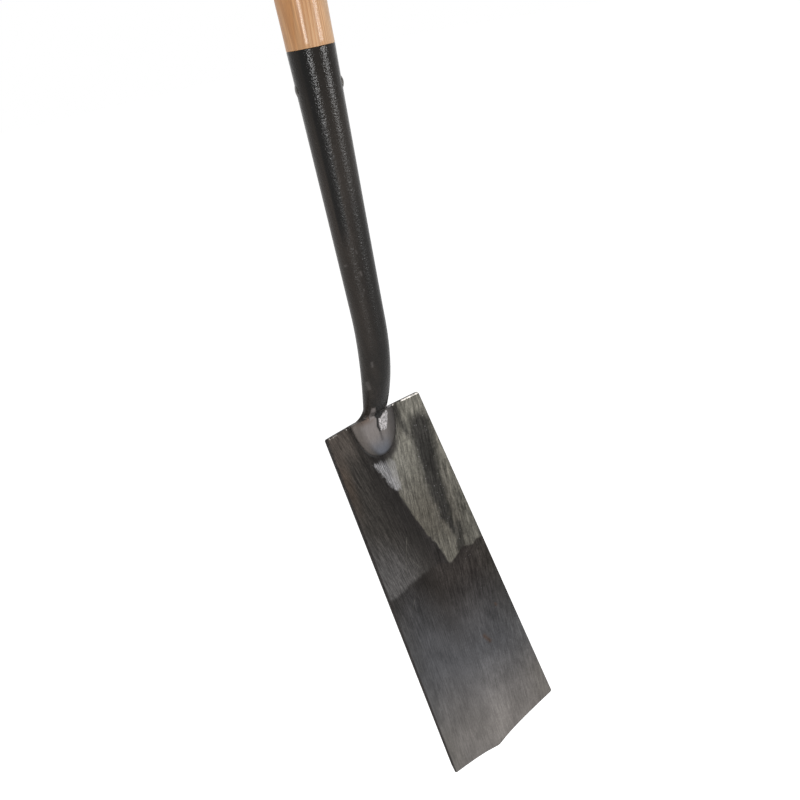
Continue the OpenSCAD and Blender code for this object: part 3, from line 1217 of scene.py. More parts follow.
    def _lamp_reflection(self, graph: Graph, face: Face, streak: Value) -> Output:
        """Builds the painted reflection of a lamp: a light area on the right of the upper half.

        Args:
            graph: The material's graph.
            face: Places across and down.
            streak: Mask of its dark streaks.

        Returns:
            Its colour.
        """
        across, down = face.ragged_across, face.ragged_down
        beyond = graph.product(
            graph.smooth(across, 42.0, 54.0),
            graph.smooth(down, 14.0, 60.0),
            graph.between(graph.smooth(down, 100.0, 130.0), 0.4, 0.1),
        )
        fade = graph.product(
            graph.smooth(down, 50.0, 105.0),
            graph.smooth(across, 62.0, 42.0),
            graph.between(graph.smooth(down, 118.0, 140.0), 1.0, 0.5),
        )
        # Painted reflection, lightest towards its left, fading to the strip tone at its right side and lower
        # end.
        light = graph.blend(graph.smooth(across, 25.0, 12.0), self.burnish_and_reflection, self.glow)
        light = graph.blend(any_of(graph, [beyond, fade]), light, self.strip)
        return graph.blend(streak, light, self.streak_dark)

    @staticmethod
    def _below(graph: Graph, face: Face) -> Output:
        """Builds the step from the upper to the lower half.

        Args:
            graph: The material's graph.
            face: Places across and down.

        Returns:
            1 on the lower half.
        """
        tip_start, rise_start, shelf_middle = 19.0, 24.0, 50.7
        rise = graph.math("MINIMUM", graph.product(graph.beyond(face.crisp_across, rise_start), 0.5), 8.6)
        tip = graph.math("MINIMUM", graph.product(graph.beyond(tip_start, face.ragged_across), 0.6), 4.0)
        from_shelf = graph.math("ABSOLUTE", graph.math("SUBTRACT", face.crisp_across, shelf_middle))
        shelf = graph.math("MAXIMUM", graph.line(from_shelf, -0.42, 4.0), 0.0)
        shift = graph.math("SUBTRACT", graph.math("ADD", rise, tip), shelf)
        sharp = graph.smooth(face.ragged_across, 8.0, 20.0)
        start = graph.between(sharp, 153.5, 154.7)
        end = graph.between(sharp, 158.0, 156.8)
        return graph.smooth(graph.math("ADD", face.crisp_down, shift), start, end)

    def _low(self, graph: Graph, face: Face, skin: dict) -> Output:
        """Builds the lower half, which grows lighter to the cutting edge and sooner on the left.

        Args:
            graph: The material's graph.
            face: Places across and down.
            skin: Outputs of the uneven skin.

        Returns:
            Its colour.
        """
        lift = graph.math("MAXIMUM", graph.product(face.across, -1.1), 0.0)
        lift = graph.math("MINIMUM", lift, 38.0)
        middle = graph.smooth(graph.math("ADD", face.down, lift), 165.0, 262.0)
        colour = graph.blend(middle, self.lower, self.middle)
        edge = graph.smooth(graph.line(lift, 0.35, face.down), 238.0, 326.0)
        colour = graph.blend(edge, colour, self.edge)
        flank = graph.smooth(graph.math("ABSOLUTE", face.across), 40.0, 66.0)
        flank = graph.product(flank, graph.between(graph.smooth(face.down, 262.0, 292.0), 0.15, 0.4))
        colour = graph.blend(flank, colour, self.strip)
        return graph.scaled(colour, graph.line(skin["Cloud"], 0.3, 0.85))

    def _shadow(self, graph: Graph, face: Face) -> Output:
        """Builds the painted shadow round the tongue.

        Args:
            graph: The material's graph.
            face: Places across and down.

        Returns:
            Its mask.
        """
        return graph.product(
            graph.smooth(tongue_reach(graph, face.calm, self.toe), 1.28, 1.04),
            graph.between(graph.smooth(face.across, -22.0, -6.0), 0.0, 0.95),
            graph.between(graph.smooth(face.across, 12.0, 21.0), 1.0, 0.55),
        )

    def _reflection_wedge(self, graph: Graph, face: Face) -> Output:
        """Builds the painted bright reflection in a wedge below the tongue.

        Args:
            graph: The material's graph.
            face: Places across and down.

        Returns:
            The wedge's mask.
        """
        depth = graph.line(face.ragged_down, -0.384, graph.math("ADD", face.ragged_across, 31.8))
        fading = graph.between(graph.smooth(depth, 6.0, 13.0), 1.0, 0.5)
        return graph.product(inside(graph, face.ragged, self.reflection_corners, 1.6), fading)

    def _treads(self, graph: Graph, colour: Value, face: Face, facing: Value) -> Output:
        """Paints the top edge bright in places on its right: wear and a painted highlight where the rounded
        edge catches light.

        Args:
            graph: The material's graph.
            colour: Colour so far.
            face: Places across and down.
            facing: How far a face turns to the front.

        Returns:
            The new colour.
        """
        rub = graph.noise(face.calm, 0.3, 3.0, 0.65)
        right = graph.smooth(face.across, 30.0, 46.0)
        worn_and_highlit = graph.smooth(graph.line(right, 0.2, rub), 0.54, 0.64)
        mask = graph.product(worn_and_highlit, graph.smooth(face.down, 2.2, 1.2), graph.smooth(facing, 0.5, 0.72))
        return graph.blend(mask, colour, self.worn_and_highlit)


@dataclass(frozen=True)
class BlackLacquer:
    """Finish of the socket: black lacquer with an orange peel, rubbed off to ground steel at the tongue, with
    painted light, painted shade and a painted dark reflection.
    """

    lean: Lean
    toe: Spot
    black: tuple = tone(20, 16, 12)
    # Tone of rubbed lacquer and of painted light on the neck's left.
    thin_and_lit: tuple = tone(47, 41, 36)
    bare: tuple = tone(108, 103, 101)
    # Tone of chips and of painted shade on the tongue's right.
    cool: tuple = tone(90, 92, 98)
    dim_steel_and_shade: tuple = tone(82, 78, 76)
    # Tone of painted shade along the tongue's rim.
    shade_tone: tuple = tone(40, 38, 36)
    dark: tuple = tone(84, 79, 75)
    rusty: tuple = tone(88, 77, 70)
    bright: tuple = tone(172, 168, 168)
    # Direction of the side that carries the painted dark reflection.
    dark_reflection_side: Point = (-0.857, -0.515, 0.0)
    notch: tuple[Spot, ...] = ((-10.4, -7.5), (-7.4, -8.0), (-4.4, 2.0), (-10.5, 2.0))
    spur: tuple[Spot, ...] = ((-7.4, -9.0), (10.0, -9.0), (9.4, -0.8), (-1.2, 4.8), (-4.6, 2.6))
    facet: tuple[Spot, ...] = ((-1.4, 5.0), (9.4, 0.4), (12.0, 2.4), (6.2, 15.6), (-1.6, 15.0))
    chip: tuple[Spot, ...] = ((6.0, -5.2), (10.6, -4.8), (9.4, -1.6), (6.2, -2.6))
    spur_marks: tuple[Stroke, ...] = (
        Stroke((-2.0, 1.5), (-3.6, 9.5), 1.3, 0.8),
        Stroke((-3.6, 9.5), (-2.2, 15.0), 1.0, 0.9),
    )
    faint_marks: tuple[Stroke, ...] = (Stroke((-2.2, 15.0), (-1.4, 23.0), 1.0, 2.0),)
    fleck_marks: tuple[Stroke, ...] = (
        Stroke((-8.6, -122.4), (-8.2, -119.4), 0.6, 0.7),
        Stroke((-8.6, -108.0), (-8.5, -106.8), 0.3, 0.5),
        Stroke((-11.0, -47.4), (-10.7, -43.6), 0.5, 0.7),
        Stroke((-13.2, -32.0), (-12.2, -25.4), 0.5, 0.8),
        Stroke((-14.9, -131.8), (-14.7, -130.6), 0.3, 0.5),
        Stroke((-8.9, -140.0), (-8.4, -137.0), 0.3, 0.6),
    )

    def material(self, effects: Effects) -> bpy.types.Material:
        """Builds the material.

        Args:
            effects: The shared effects.

        Returns:
            The material.
        """
        material, graph, shader = new_material("black_lacquer")
        own, at = self.lean.places(graph)
        across, down = at["across"], at["down"]
        skin = graph.effect(effects.mottle, {"Place": own, "Grain": 1.0, "Rarity": 0.03}).outputs
        streaks = graph.effect(effects.streaks, {"Place": own, "Scale": 1.2}).outputs
        front = graph.smooth(self.lean.facing(graph), -0.1, 0.2)
        calm = graph.spot(across, down)
        torn = graph.line(graph.noise(own, 0.22, 4.0, 0.65), 12.0, -6.0)
        ragged = graph.spot(across, graph.line(torn, 0.5, down))
        notch = inside(graph, ragged, self.notch, 0.6)
        facet = any_of(graph, [inside(graph, ragged, self.facet, 0.5), inside(graph, ragged, self.chip, 0.4)])
        left_over = any_of(graph, [
            inside(graph, ragged, self.spur, 0.7),
            drawn(graph, effects, ragged, self.spur_marks),
            graph.product(drawn(graph, effects, calm, self.faint_marks), 0.6),
        ])
        ground = any_of(graph, [graph.smooth(graph.math("ADD", down, torn), -1.4, 1.4), notch])
        ground = graph.product(ground, front, graph.math("SUBTRACT", 1.0, left_over))
        metal = any_of(graph, [ground, facet, graph.product(skin["Speck"], 0.5)])
        reach = tongue_reach(graph, calm, self.toe)
        shine = graph.smooth(graph.noise(own, 0.6, 4.0, 0.7), 0.36, 0.62)
        glint = graph.scaled(self.bright[:3], graph.line(shine, 0.85, 0.35))
        steel = graph.blend(facet, self._steel(graph, across, down, reach, notch), glint)
        steel = graph.scaled(steel, graph.line(streaks["Tone"], 0.2, 0.8))
        flecks = graph.product(drawn(graph, effects, calm, self.fleck_marks), front, 0.6)
        paint = graph.blend(flecks, self._paint(graph, own, at, left_over, skin), self.dim_steel_and_shade)
        graph.feed(shader.inputs["Base Color"], graph.blend(metal, paint, steel))
        weld = heated(graph, graph.smooth(reach, 0.86, 0.97), across, down)
        graph.feed(shader.inputs["Metallic"], graph.math("MULTIPLY_ADD", weld, -0.85, metal, clamp=True))
        dull = graph.between(graph.smooth(down, -290.0, -200.0), 0.06, 0.24)
        gloss = graph.line(graph.smooth(graph.noise(own, 0.8, 2.0, 0.6), 0.35, 0.65), 0.16, dull)
        graph.feed(shader.inputs["Roughness"], graph.between(metal, gloss, 0.42))
        shader.inputs["Specular IOR Level"].default_value = 0.2
        height = graph.between(metal, skin["Peel"], graph.product(streaks["Height"], 0.3))
        graph.feed(shader.inputs["Normal"], graph.bump(0.6, 0.6, height))
        return material

    def _steel(self, graph: Graph, across: Value, down: Value, reach: Value, notch: Value) -> Output:
        """Builds the ground steel of the tongue, with painted shade on its right and along its rim.

        Args:
            graph: The material's graph.
            across: Place across the blade.
            down: Place down the blade.
            reach: Share of the way to the tongue's outline.
            notch: Mask of the bare notch at the left.

        Returns:
            Its colour.
        """
        colour = graph.blend(graph.smooth(down, 16.0, 34.0), self.bare, self.cool)
        # Painted shade on the tongue's right side.
        colour = graph.blend(graph.smooth(across, 2.0, 14.0), colour, self.dim_steel_and_shade)
        flare = graph.product(
            graph.smooth(down, 7.0, 0.0),
            graph.smooth(across, -3.0, -10.0),
            graph.line(notch, -0.9, 0.9),
        )
        colour = graph.blend(flare, colour, self.rusty)
        # Painted shade along the tongue's rim, darkest on its right.
        right = graph.smooth(across, -20.0, -4.0)
        rim = graph.smooth(reach, graph.between(right, 0.6, 0.9), 1.01)
        return graph.blend(rim, colour, graph.blend(right, self.dark, self.shade_tone))

    def _paint(
        self, graph: Graph, own: Value, at: dict[str, Output], left_over: Value, skin: dict
    ) -> Output:
        """Builds the lacquer: rubbed lower down, with thinned lacquer and painted light on the neck's left,
        painted shade on the neck's right, and a painted dark reflection on one side at the top.

        Args:
            graph: The material's graph.
            own: The socket's own places.
            at: The numbers across, rise and down.
            left_over: Mask of the lacquer left on the tongue.
            skin: Outputs of the uneven skin.

        Returns:
            Its colour.
        """
        across, down = at["across"], at["down"]
        runs = graph.noise(graph.stretched(own, (0.2, 0.2, 0.035)), 1.0, 4.0, 0.65)
        # Thinned lacquer and painted light on the neck's left.
        thin_and_lit = graph.product(
            graph.smooth(down, -95.0, -15.0),
            graph.smooth(runs, 0.42, 0.6),
            graph.smooth(across, 8.0, -8.0),
        )
        rubbed = graph.product(
            graph.smooth(down, -290.0, -170.0),
            graph.line(runs, 0.9, 0.1),
            graph.between(graph.smooth(down, -85.0, -35.0), 1.0, 0.1),
            graph.between(graph.smooth(down, -160.0, -120.0), 1.0, 0.7),
        )
        haze = graph.math("MULTIPLY_ADD", skin["Cloud"], 0.15, graph.line(thin_and_lit, 0.4, rubbed), clamp=True)
        # Painted dark reflection on the side that faces left and forward, near the top; the lacquer left on
        # the tongue is darkened with it.
        normal = graph.node("ShaderNodeTexCoord").outputs["Normal"]
        turned = graph.smooth(graph.vector("DOT_PRODUCT", normal, self.dark_reflection_side), 0.95, 0.99)
        full = any_of(graph, [graph.product(turned, graph.smooth(down, -138.0, -168.0)), left_over])
        haze = graph.product(haze, graph.line(full, -0.9, 1.0))
        # Painted shade on the right of the lower socket and the neck.
        shaded_right = graph.product(graph.smooth(down, -235.0, -150.0), graph.smooth(across, -13.0, -2.0))
        colour = graph.blend(haze, self.black, self.thin_and_lit)
        return graph.scaled(colour, graph.line(any_of(graph, [shaded_right, full]), -0.75, 1.0))


@dataclass(frozen=True)
class FastenerSteel:
    """Finish of the rivet and the pin: hammered steel, dark with bright rubbed places."""

    dark: tuple = tone(72, 69, 66)
    rubbed: tuple = tone(176, 172, 166)

    def material(self, effects: Effects) -> bpy.types.Material:
        """Builds the material.

        Args:
            effects: The shared effects.

        Returns:
            The material.
        """
        material, graph, shader = new_material("fastener_steel")
        own = graph.local((0.0, 0.0, 0.0))
        skin = graph.effect(effects.mottle, {"Place": own, "Grain": 2.0, "Rarity": 0.25}).outputs
        streaks = graph.effect(effects.streaks, {"Place": own, "Scale": 2.0}).outputs
        rubbed = graph.smooth(graph.line(streaks["Tone"], 0.6, skin["Speck"]), 0.3, 0.7)
        graph.feed(shader.inputs["Base Color"], graph.blend(rubbed, self.dark, self.rubbed))
        shader.inputs["Metallic"].default_value = 1.0
        graph.feed(shader.inputs["Roughness"], graph.line(skin["Cloud"], 0.2, 0.3))
        graph.feed(shader.inputs["Normal"], graph.bump(0.4, 0.4, skin["Peel"]))
        return material


@dataclass(frozen=True)
class ClearWood:
    """Finish of a wood piece: its growth under clear lacquer, paler towards its own +X side as painted light.
    """

    name: str
    grain: Grain
    pale: tuple
    tan: tuple
    early: tuple
    pith: Point = (70.0, 25.0, 0.0)
    spacing: float = 1.8
    coat: float = 0.29

    def material(self, effects: Effects) -> bpy.types.Material:
        """Builds the material.

        Args:
            effects: The shared effects.

        Returns:
            The material.
        """
        material, graph, shader = new_material(self.name)
        own = graph.local((0.0, 0.0, 0.0), self.grain.value)
        inputs = {"Place": own, "Pith": self.pith, "Spacing": self.spacing}
        growth = graph.effect(effects.growth, inputs).outputs
        skin = graph.effect(effects.mottle, {"Place": own, "Grain": 1.2, "Rarity": 0.0}).outputs
        across = graph.node("ShaderNodeSeparateXYZ", {0: own}).outputs["X"]
        # Painted light: paler towards +X, tan towards -X.
        lit_side = graph.smooth(graph.line(growth["Cloud"], 16.0, across), -14.0, 26.0)
        colour = graph.blend(lit_side, self.tan, self.pale)
        for mark in ("Ring", "Pore"):
            colour = graph.blend(graph.product(growth[mark], 0.5), colour, self.early)
        colour = graph.scaled(colour, graph.line(growth["Fibre"], 0.4, 0.8))
        graph.feed(shader.inputs["Base Color"], colour)
        graph.feed(shader.inputs["Roughness"], graph.line(skin["Cloud"], 0.12, 0.42))
        shader.inputs["Coat Weight"].default_value = self.coat
        shader.inputs["Coat Roughness"].default_value = 0.16
        shader.inputs["Specular IOR Level"].default_value = 0.25
        height = graph.line(skin["Peel"], 0.8, growth["Fibre"])
        height = graph.line(growth["Pore"], -1.5, height)
        graph.feed(shader.inputs["Normal"], graph.bump(0.25, 0.3, height))
        return material


@dataclass
class Blade:
    """The dished plate: long and narrow, with rounded treads at the top and a pointed cutting edge."""

    lean: Lean
    length: float = 315.0
    top_width: float = 114.5
    edge_width: float = 138.0
    point: float = 17.0
    dish_top: float = 7.5
    dish_edge: float = 17.0
    dish_radius: float = 30.0
    tip_radius: float = 2.0
    corner_radius: float = 1.8
    top_thick: float = 4.0
    low_thick: float = 2.6
    edge_thick: float = 1.5
    bevel: float = 8.0
    tread_radius: float = 0.8
    side_radius: float = 0.5
    side_limit: float = 1 / 2.2
    edge_radius: float = 0.3
    rows: int = 120
    bevel_rows: int = 12
    columns: int = 60
    tread_rows: tuple[float, ...] = (0.0, 0.04, 0.16, 0.35, 0.57, 0.8, 1.5, 2.6)
    edge_rows: tuple[float, ...] = (1.2, 0.7, 0.3, 0.12, 0.03, 0.0)
    fringe: tuple[float, ...] = (0.0, 0.05, 0.17, 0.33, 0.5, 0.8, 1.2, 1.8, 2.6, 4.0)

    def dish(self, across: float, share: float) -> float:
        """Gives the rise of the front face.

        Args:
            across: Place across the blade.
            share: Share of the way down the blade.

        Returns:
            The rise from the bottom of the dish.
        """
        half = mix(self.top_width, self.edge_width, share) / 2
        return mix(self.dish_top, self.dish_edge, share) * soft_vee(across, half, self.dish_radius)

    def thickness(self, share: float) -> float:
        """Gives the plate's thickness.

        Args:
            share: Share of the way down the blade.

        Returns:
            The thickness there.
        """
        start = 1.0 - self.bevel / (self.length + self.point)
        if share < start:
            return mix(self.top_thick, self.low_thick, share / start)
        return mix(self.low_thick, self.edge_thick, (share - start) / (1.0 - start))

    def shares(self) -> list[float]:
        """Gives the stations down the blade, close together where its edges are rounded.

        Returns:
            Shares of the way down.
        """
        whole = self.length + self.point
        start = 1.0 - self.bevel / whole
        first, last = self.tread_rows[-1] / whole, 1.0 - self.edge_rows[0] / whole
        treads = [place / whole for place in self.tread_rows[:-1]]
        plain = [mix(first, start, step / self.rows) for step in range(self.rows + 1)]
        bevel = [mix(start, last, step / self.bevel_rows) for step in range(1, self.bevel_rows + 1)]
        edge = [1.0 - place / whole for place in self.edge_rows[1:]]
        return treads + plain + bevel + edge

    def offsets(self, half: float) -> list[float]:
        """Gives the stations across the blade.

        Args:
            half: Half of its width.

        Returns:
            Places from left to right.
        """
        inner = half - self.fringe[-1]
        left = [inset - half for inset in self.fringe]
        middle = [mix(-inner, inner, step / self.columns) for step in range(1, self.columns)]
        right = [half - inset for inset in reversed(self.fringe)]
        return left + middle + right

    def spot(self, across: float, share: float, half: float, rear: bool) -> Point:
        """Gives a point of the plate's skin.

        Args:
            across: Place across the blade.
            share: Share of the way down.
            half: Half of the width there.
            rear: Whether the point is on the back.

        Returns:
            The point.
        """
        inset = half - abs(across)
        whole = self.length + self.point * (1.0 - soft_vee(across, half, self.tip_radius))
        cut = arris(inset, self.corner_radius)
        down = mix(cut, whole - cut, share)
        thick = self.thickness(share)
        fall = max(
            arris(share * (self.length + self.point), self.tread_radius),
            arris(inset, min(self.side_radius, thick * self.side_limit)),
            arris((1.0 - share) * (self.length + self.point), self.edge_radius),
        )
        rise = self.dish(across, share)
        return self.lean.point(across, rise - thick + fall if rear else rise - fall, down)

    def build(self) -> bpy.types.Object:
        """Shapes a grid into the front face and extrudes it to the back face.

        Returns:
            The piece.
        """
        shares = self.shares()
        count = len(self.offsets(self.top_width))
        deselect_all()
        bpy.ops.mesh.primitive_grid_add(x_subdivisions=count - 1, y_subdivisions=len(shares) - 1, size=2.0)
        piece = bpy.context.object
        piece.name = piece.data.name = "spade_blade"
        bpy.ops.object.mode_set(mode="EDIT")
        sheet = bmesh.from_edit_mesh(piece.data)
        column, row = sheet.verts.layers.int.new("column"), sheet.verts.layers.int.new("row")
        for vert in sheet.verts:
            vert[column] = round((vert.co.x + 1.0) / 2.0 * (count - 1))
            vert[row] = round((1.0 - vert.co.y) / 2.0 * (len(shares) - 1))
        self._shape(piece, shares, rear=False)
        bpy.ops.mesh.select_all(action="SELECT")
        bpy.ops.mesh.extrude_region_move()
        self._shape(piece, shares, rear=True)
        sheet = bmesh.from_edit_mesh(piece.data)
        for name in ("column", "row"):
            sheet.verts.layers.int.remove(sheet.verts.layers.int[name])
        bmesh.update_edit_mesh(piece.data)
        close_up()
        return piece

    def _shape(self, piece: bpy.types.Object, shares: Sequence[float], rear: bool) -> None:
        """Presses the selected sheet into the front or the back face.

        Args:
            piece: The piece, in edit mode.
            shares: Stations down the blade.
            rear: Whether the sheet is the back.
        """
        sheet = bmesh.from_edit_mesh(piece.data)
        column, row = sheet.verts.layers.int["column"], sheet.verts.layers.int["row"]
        halves = [mix(self.top_width, self.edge_width, share) / 2 for share in shares]
        across = [self.offsets(half) for half in halves]
        for vert in sheet.verts:
            if vert.select:
                line = vert[row]
                vert.co = Vector(self.spot(across[line][vert[column]], shares[line], halves[line], rear)) * MM
        bmesh.update_edit_mesh(piece.data)


@dataclass
class Socket:
    """The forged socket: a tapered tube, a solid cranked neck and the tongue on the blade."""

    blade: Blade
    mouth: float = -250.0
    mouth_width: float = 39.0
    waist_width: float = 33.0
    neck_width: float = 28.0
    length: float = 221.0
    wall: float = 2.5
    bore_width: float = 23.5
    bore_depth: float = 180.0
    lip: float = 0.7
    crank_radius: float = 235.0
    crank_clear: float = 10.0
    end_width: float = 26.0
    end_thick: float = 15.0
    tongue_width: float = 52.0
    tongue_length: float = 38.0
    tongue_height: float = 14.0
    tongue_slope: float = 0.7
    tongue_tip: float = 0.6
    tongue_peak: float = 0.3
    weld: float = 0.1
    points: int = 96
    bore_steps: int = 4
    lip_steps: int = 5
    tube_steps: int = 56
    crank_steps: int = 40
    flare_steps: int = 12
    tongue_steps: int = 30

    @property
    def neck(self) -> float:
        """Returns the height at which the tube becomes the neck."""
        return self.mouth - self.length

    @property
    def bore_mouth(self) -> float:
        """Returns the bore's radius at the mouth."""
        return self.mouth_width / 2 - self.wall

    @property
    def toe(self) -> Spot:
        """Returns half of the tongue's width, and its length."""
        return (self.tongue_width / 2, self.tongue_length)

    def radius(self, share: float) -> float:
        """Gives the tube's outer radius.

        Args:
            share: Share of the way up from the neck to the mouth.

        Returns:
            The radius.
        """
        low = self.neck_width * (1 - share) * (1 - 2 * share)
        high = self.mouth_width * share * (2 * share - 1)
        return (low + 4 * self.waist_width * share * (1 - share) + high) / 2

    def angles(self) -> list[float]:
        """Returns the angles of a ring's points, from the left over the front and back behind."""
        return [math.pi - 2 * math.pi * step / self.points for step in range(self.points)]

    def round_ring(self, radius: float, height: float) -> list[Point]:
        """Returns a level ring about the shaft's axis."""
        return [(radius * math.cos(angle), -radius * math.sin(angle), height) for angle in self.angles()]

    def crank_ring(self, share: float) -> list[Point]:
        """Gives a ring of the crank.

        Args:
            share: Share of the way from the tube to the crank's end.

        Returns:
            The ring.
        """
        full = math.asin((self.neck - self.blade.lean.top - self.crank_clear) / self.crank_radius)
        lean = full * share
        middle = (self.crank_radius * (1 - math.cos(lean)), self.neck - self.crank_radius * math.sin(lean))
        half = mix(self.neck_width, self.end_width, share) / 2
        thick = mix(self.neck_width, self.end_thick, share**3) / 2
        ring = []
        for turn_angle in self.angles():
            forward = thick * math.sin(turn_angle)
            depth = middle[0] - forward * math.cos(lean)
            height = middle[1] - forward * math.sin(lean)
            ring.append((half * math.cos(turn_angle), depth, height))
        return ring

    def tongue_ring(self, down: float) -> list[Point]:
        """Gives a ring of the tongue on the blade's front.

        Args:
            down: Place down the blade.

        Returns:
            The ring.
        """
        share = down / self.tongue_length
        half = self.tongue_width / 2 * math.sqrt(1 - share * share)
        high = self.tongue_height * (1 - share) ** self.tongue_slope
        ring = []
        for turn_angle in self.angles():
            across = half * math.cos(turn_angle)
            crown = max(0.0, math.sin(turn_angle))
            lift = self.weld + high * mix(crown, crown**3, self.tongue_peak)
            rise = self.blade.dish(across, down / self.blade.length) + lift
            ring.append(self.blade.lean.point(across, rise, down))
        return ring

    def flare_ring(self, share: float) -> list[Point]:
        """Gives a ring between the crank and the tongue, whose width flares in a fillet.

        Args:
            share: Share of the way down.

        Returns:
            The ring.
        """
        flare = 1 - math.sqrt(1 - share * share)
        return [
            (mix(upper[0], lower[0], flare), mix(upper[1], lower[1], share), mix(upper[2], lower[2], share))
            for upper, lower in zip(self.crank_ring(1.0), self.tongue_ring(0.0))
        ]

    def rings(self) -> list[list[Point]]:
        """Gives all rings, from the foot of the bore over the lip and down to the tongue's end.

        Returns:
            The rings.
        """
        rings = self._bore_rings() + self._lip_rings()
        for step in range(1, self.tube_steps + 1):
            share = 1 - step / self.tube_steps
            rings.append(self.round_ring(self.radius(share), mix(self.neck, self.mouth, share)))
        rings += [self.crank_ring(step / self.crank_steps) for step in range(1, self.crank_steps + 1)]
        flares = [quarter_sine(step / self.flare_steps) for step in range(1, self.flare_steps)]
        rings += [self.flare_ring(share) for share in flares]
        end = self.tongue_length - self.tongue_tip
        stations = [end * quarter_sine(step / self.tongue_steps) for step in range(self.tongue_steps + 1)]
        return rings + [self.tongue_ring(down) for down in stations]

    def _bore_rings(self) -> list[list[Point]]:
        """Returns the rings of the bore, from its foot to below the mouth."""
        rings = []
        for step in range(self.bore_steps):
            share = step / self.bore_steps
            radius = mix(self.bore_width / 2, self.bore_mouth, share)
            rings.append(self.round_ring(radius, self.mouth - self.bore_depth * (1 - share)))
        return rings

    def _lip_rings(self) -> list[list[Point]]:
        """Returns the rings of the mouth's rounded lip, from the bore over the top to the outside."""
        shares = [step / self.lip_steps for step in range(self.lip_steps + 1)]
        rises = [(1 - quarter_sine(1 - share), 1 - quarter_sine(share)) for share in shares]
        inner = [(self.bore_mouth + self.lip * inward, self.lip * fall) for inward, fall in rises]
        outer = [(self.mouth_width / 2 - self.lip * fall, self.lip * inward) for inward, fall in rises]
        return [self.round_ring(radius, self.mouth - drop) for radius, drop in inner + outer]

    def build(self) -> bpy.types.Object:
        """Returns the socket, lofted through its rings."""
        return loft("spade_socket", self.rings())


@dataclass
class Rivet:
    """The rivet right through the socket and the shaft, with a domed head and a ground tail."""

    socket: Socket
    drop: float = 30.0
    width: float = 6.0
    turned: float = math.radians(-31.0)
    head_width: float = 10.0
    head_height: float = 1.5
    tail_width: float = 9.0
    tail_height: float = 0.8
    bury: float = 0.9
    steps: int = 48
    dome_steps: int = 10

    def build(self) -> bpy.types.Object:
        """Turns the rivet about its own axis.

        Returns:
            The piece.
        """
        seat = self.socket.radius(1 - self.drop / self.socket.length)
        outline = [(0.0, -seat - self.tail_height)]
        outline += self._dome(self.tail_width, self.tail_height, -seat, -1.0)
        outline += [(self.width / 2, -seat + self.bury), (self.width / 2, seat - self.bury)]
        outline += reversed(self._dome(self.head_width, self.head_height, seat, 1.0))
        outline.append((0.0, seat + self.head_height))
        axis = (math.cos(self.turned), math.sin(self.turned), 0.0)
        return turn("spade_rivet", outline, (0.0, 0.0, self.socket.mouth - self.drop), axis, self.steps)

    def _dome(self, width: float, height: float, seat: float, way: float) -> list[Spot]:
        """Gives the outline of one end, from its crown to its foot inside the socket's wall.

        Args:
            width: Width of the end.
            height: Height of the end above its seat.
            seat: Place of its seat along the rivet.
            way: 1 for the end that looks along the axis, and -1 for the other.

        Returns:
            The outline.
        """
        ball = ((width / 2) ** 2 + height**2) / (2 * height)
        spread = math.asin(min(1.0, width / 2 / ball))
        spots = []
        for step in range(1, self.dome_steps + 1):
            lean = spread * step / self.dome_steps
            spots.append((ball * math.sin(lean), seat + way * (height - ball + ball * math.cos(lean))))
        spots.append((width / 2, seat - way * self.bury))
        return spots


@dataclass
class Shaft:
    """The turned ash shaft, tapered into the socket, with a tenon at the top."""

    socket: Socket
    width: float = 36.0
    straight: float = 200.0
    swell_width: float = 40.6
    swell_rise: float = 50.0
    gap: float = 0.1
    foot_gap: float = 0.8
    arris: float = 0.4
    arris_cut: float = 0.12
    trim_rows: Spot = (6.0, 4.0)
    trim_steps: int = 8

    def build(self, grip: "Grip") -> bpy.types.Object:
        """Turns the shaft, rounds off its tenon and cuts the wedge's slot.

        Args:
            grip: The grip that the tenon goes through.

        Returns:
            The piece.
        """
        socket = self.socket
        foot = socket.mouth - socket.bore_depth + self.foot_gap
        bore_share = self.foot_gap / socket.bore_depth
        foot_radius = mix(socket.bore_width / 2, socket.bore_mouth, bore_share) - self.gap
        half = self.straight / 2
        mouth = socket.mouth_width / 2
        outline = [(0.0, foot), (foot_radius, foot), (socket.bore_mouth - self.gap, socket.mouth)]
        edge = ((self.arris, 0.0), (self.arris_cut, self.arris_cut), (0.0, self.arris))
        outline += [(mouth - inward, socket.mouth + rise) for inward, rise in edge]
        swell = socket.mouth + self.swell_rise
        outline += self._curve(mouth, self.swell_width / 2, socket.mouth + self.arris, swell)
        outline += self._curve(self.swell_width / 2, self.width / 2, swell, -half)
        outline += self._curve(self.width / 2, self.width / 2, -half, half)
        outline += self._curve(self.width / 2, grip.shoulder_width / 2, half, grip.shoulder)
        tenon = grip.tenon_width / 2
        heights = (grip.shoulder, *(grip.crown - drop for drop in self.trim_rows), grip.crown)
        outline += [(tenon, height) for height in heights]
        outline += [(tenon * step / self.trim_steps, grip.crown) for step in reversed(range(self.trim_steps))]
        piece = turn("spade_shaft", outline)
        move_points(piece, grip.trimmed)
        cut_away(piece, grip.wedge_form("wedge_slot", grip.wood_gap))
        return piece

    @staticmethod
    def _curve(low: float, high: float, start: float, end: float, steps: int = 12) -> list[Spot]:
        """Gives an eased stretch of the shaft's outline.

        Args:
            low: Radius at its start.
            high: Radius at its end.
            start: Height of its start.
            end: Height of its end.
            steps: Count of its steps.

        Returns:
            The outline after its start.
        """
        shares = [step / steps for step in range(1, steps + 1)]
        return [(mix(low, high, ease(share)), mix(start, end, share)) for share in shares]


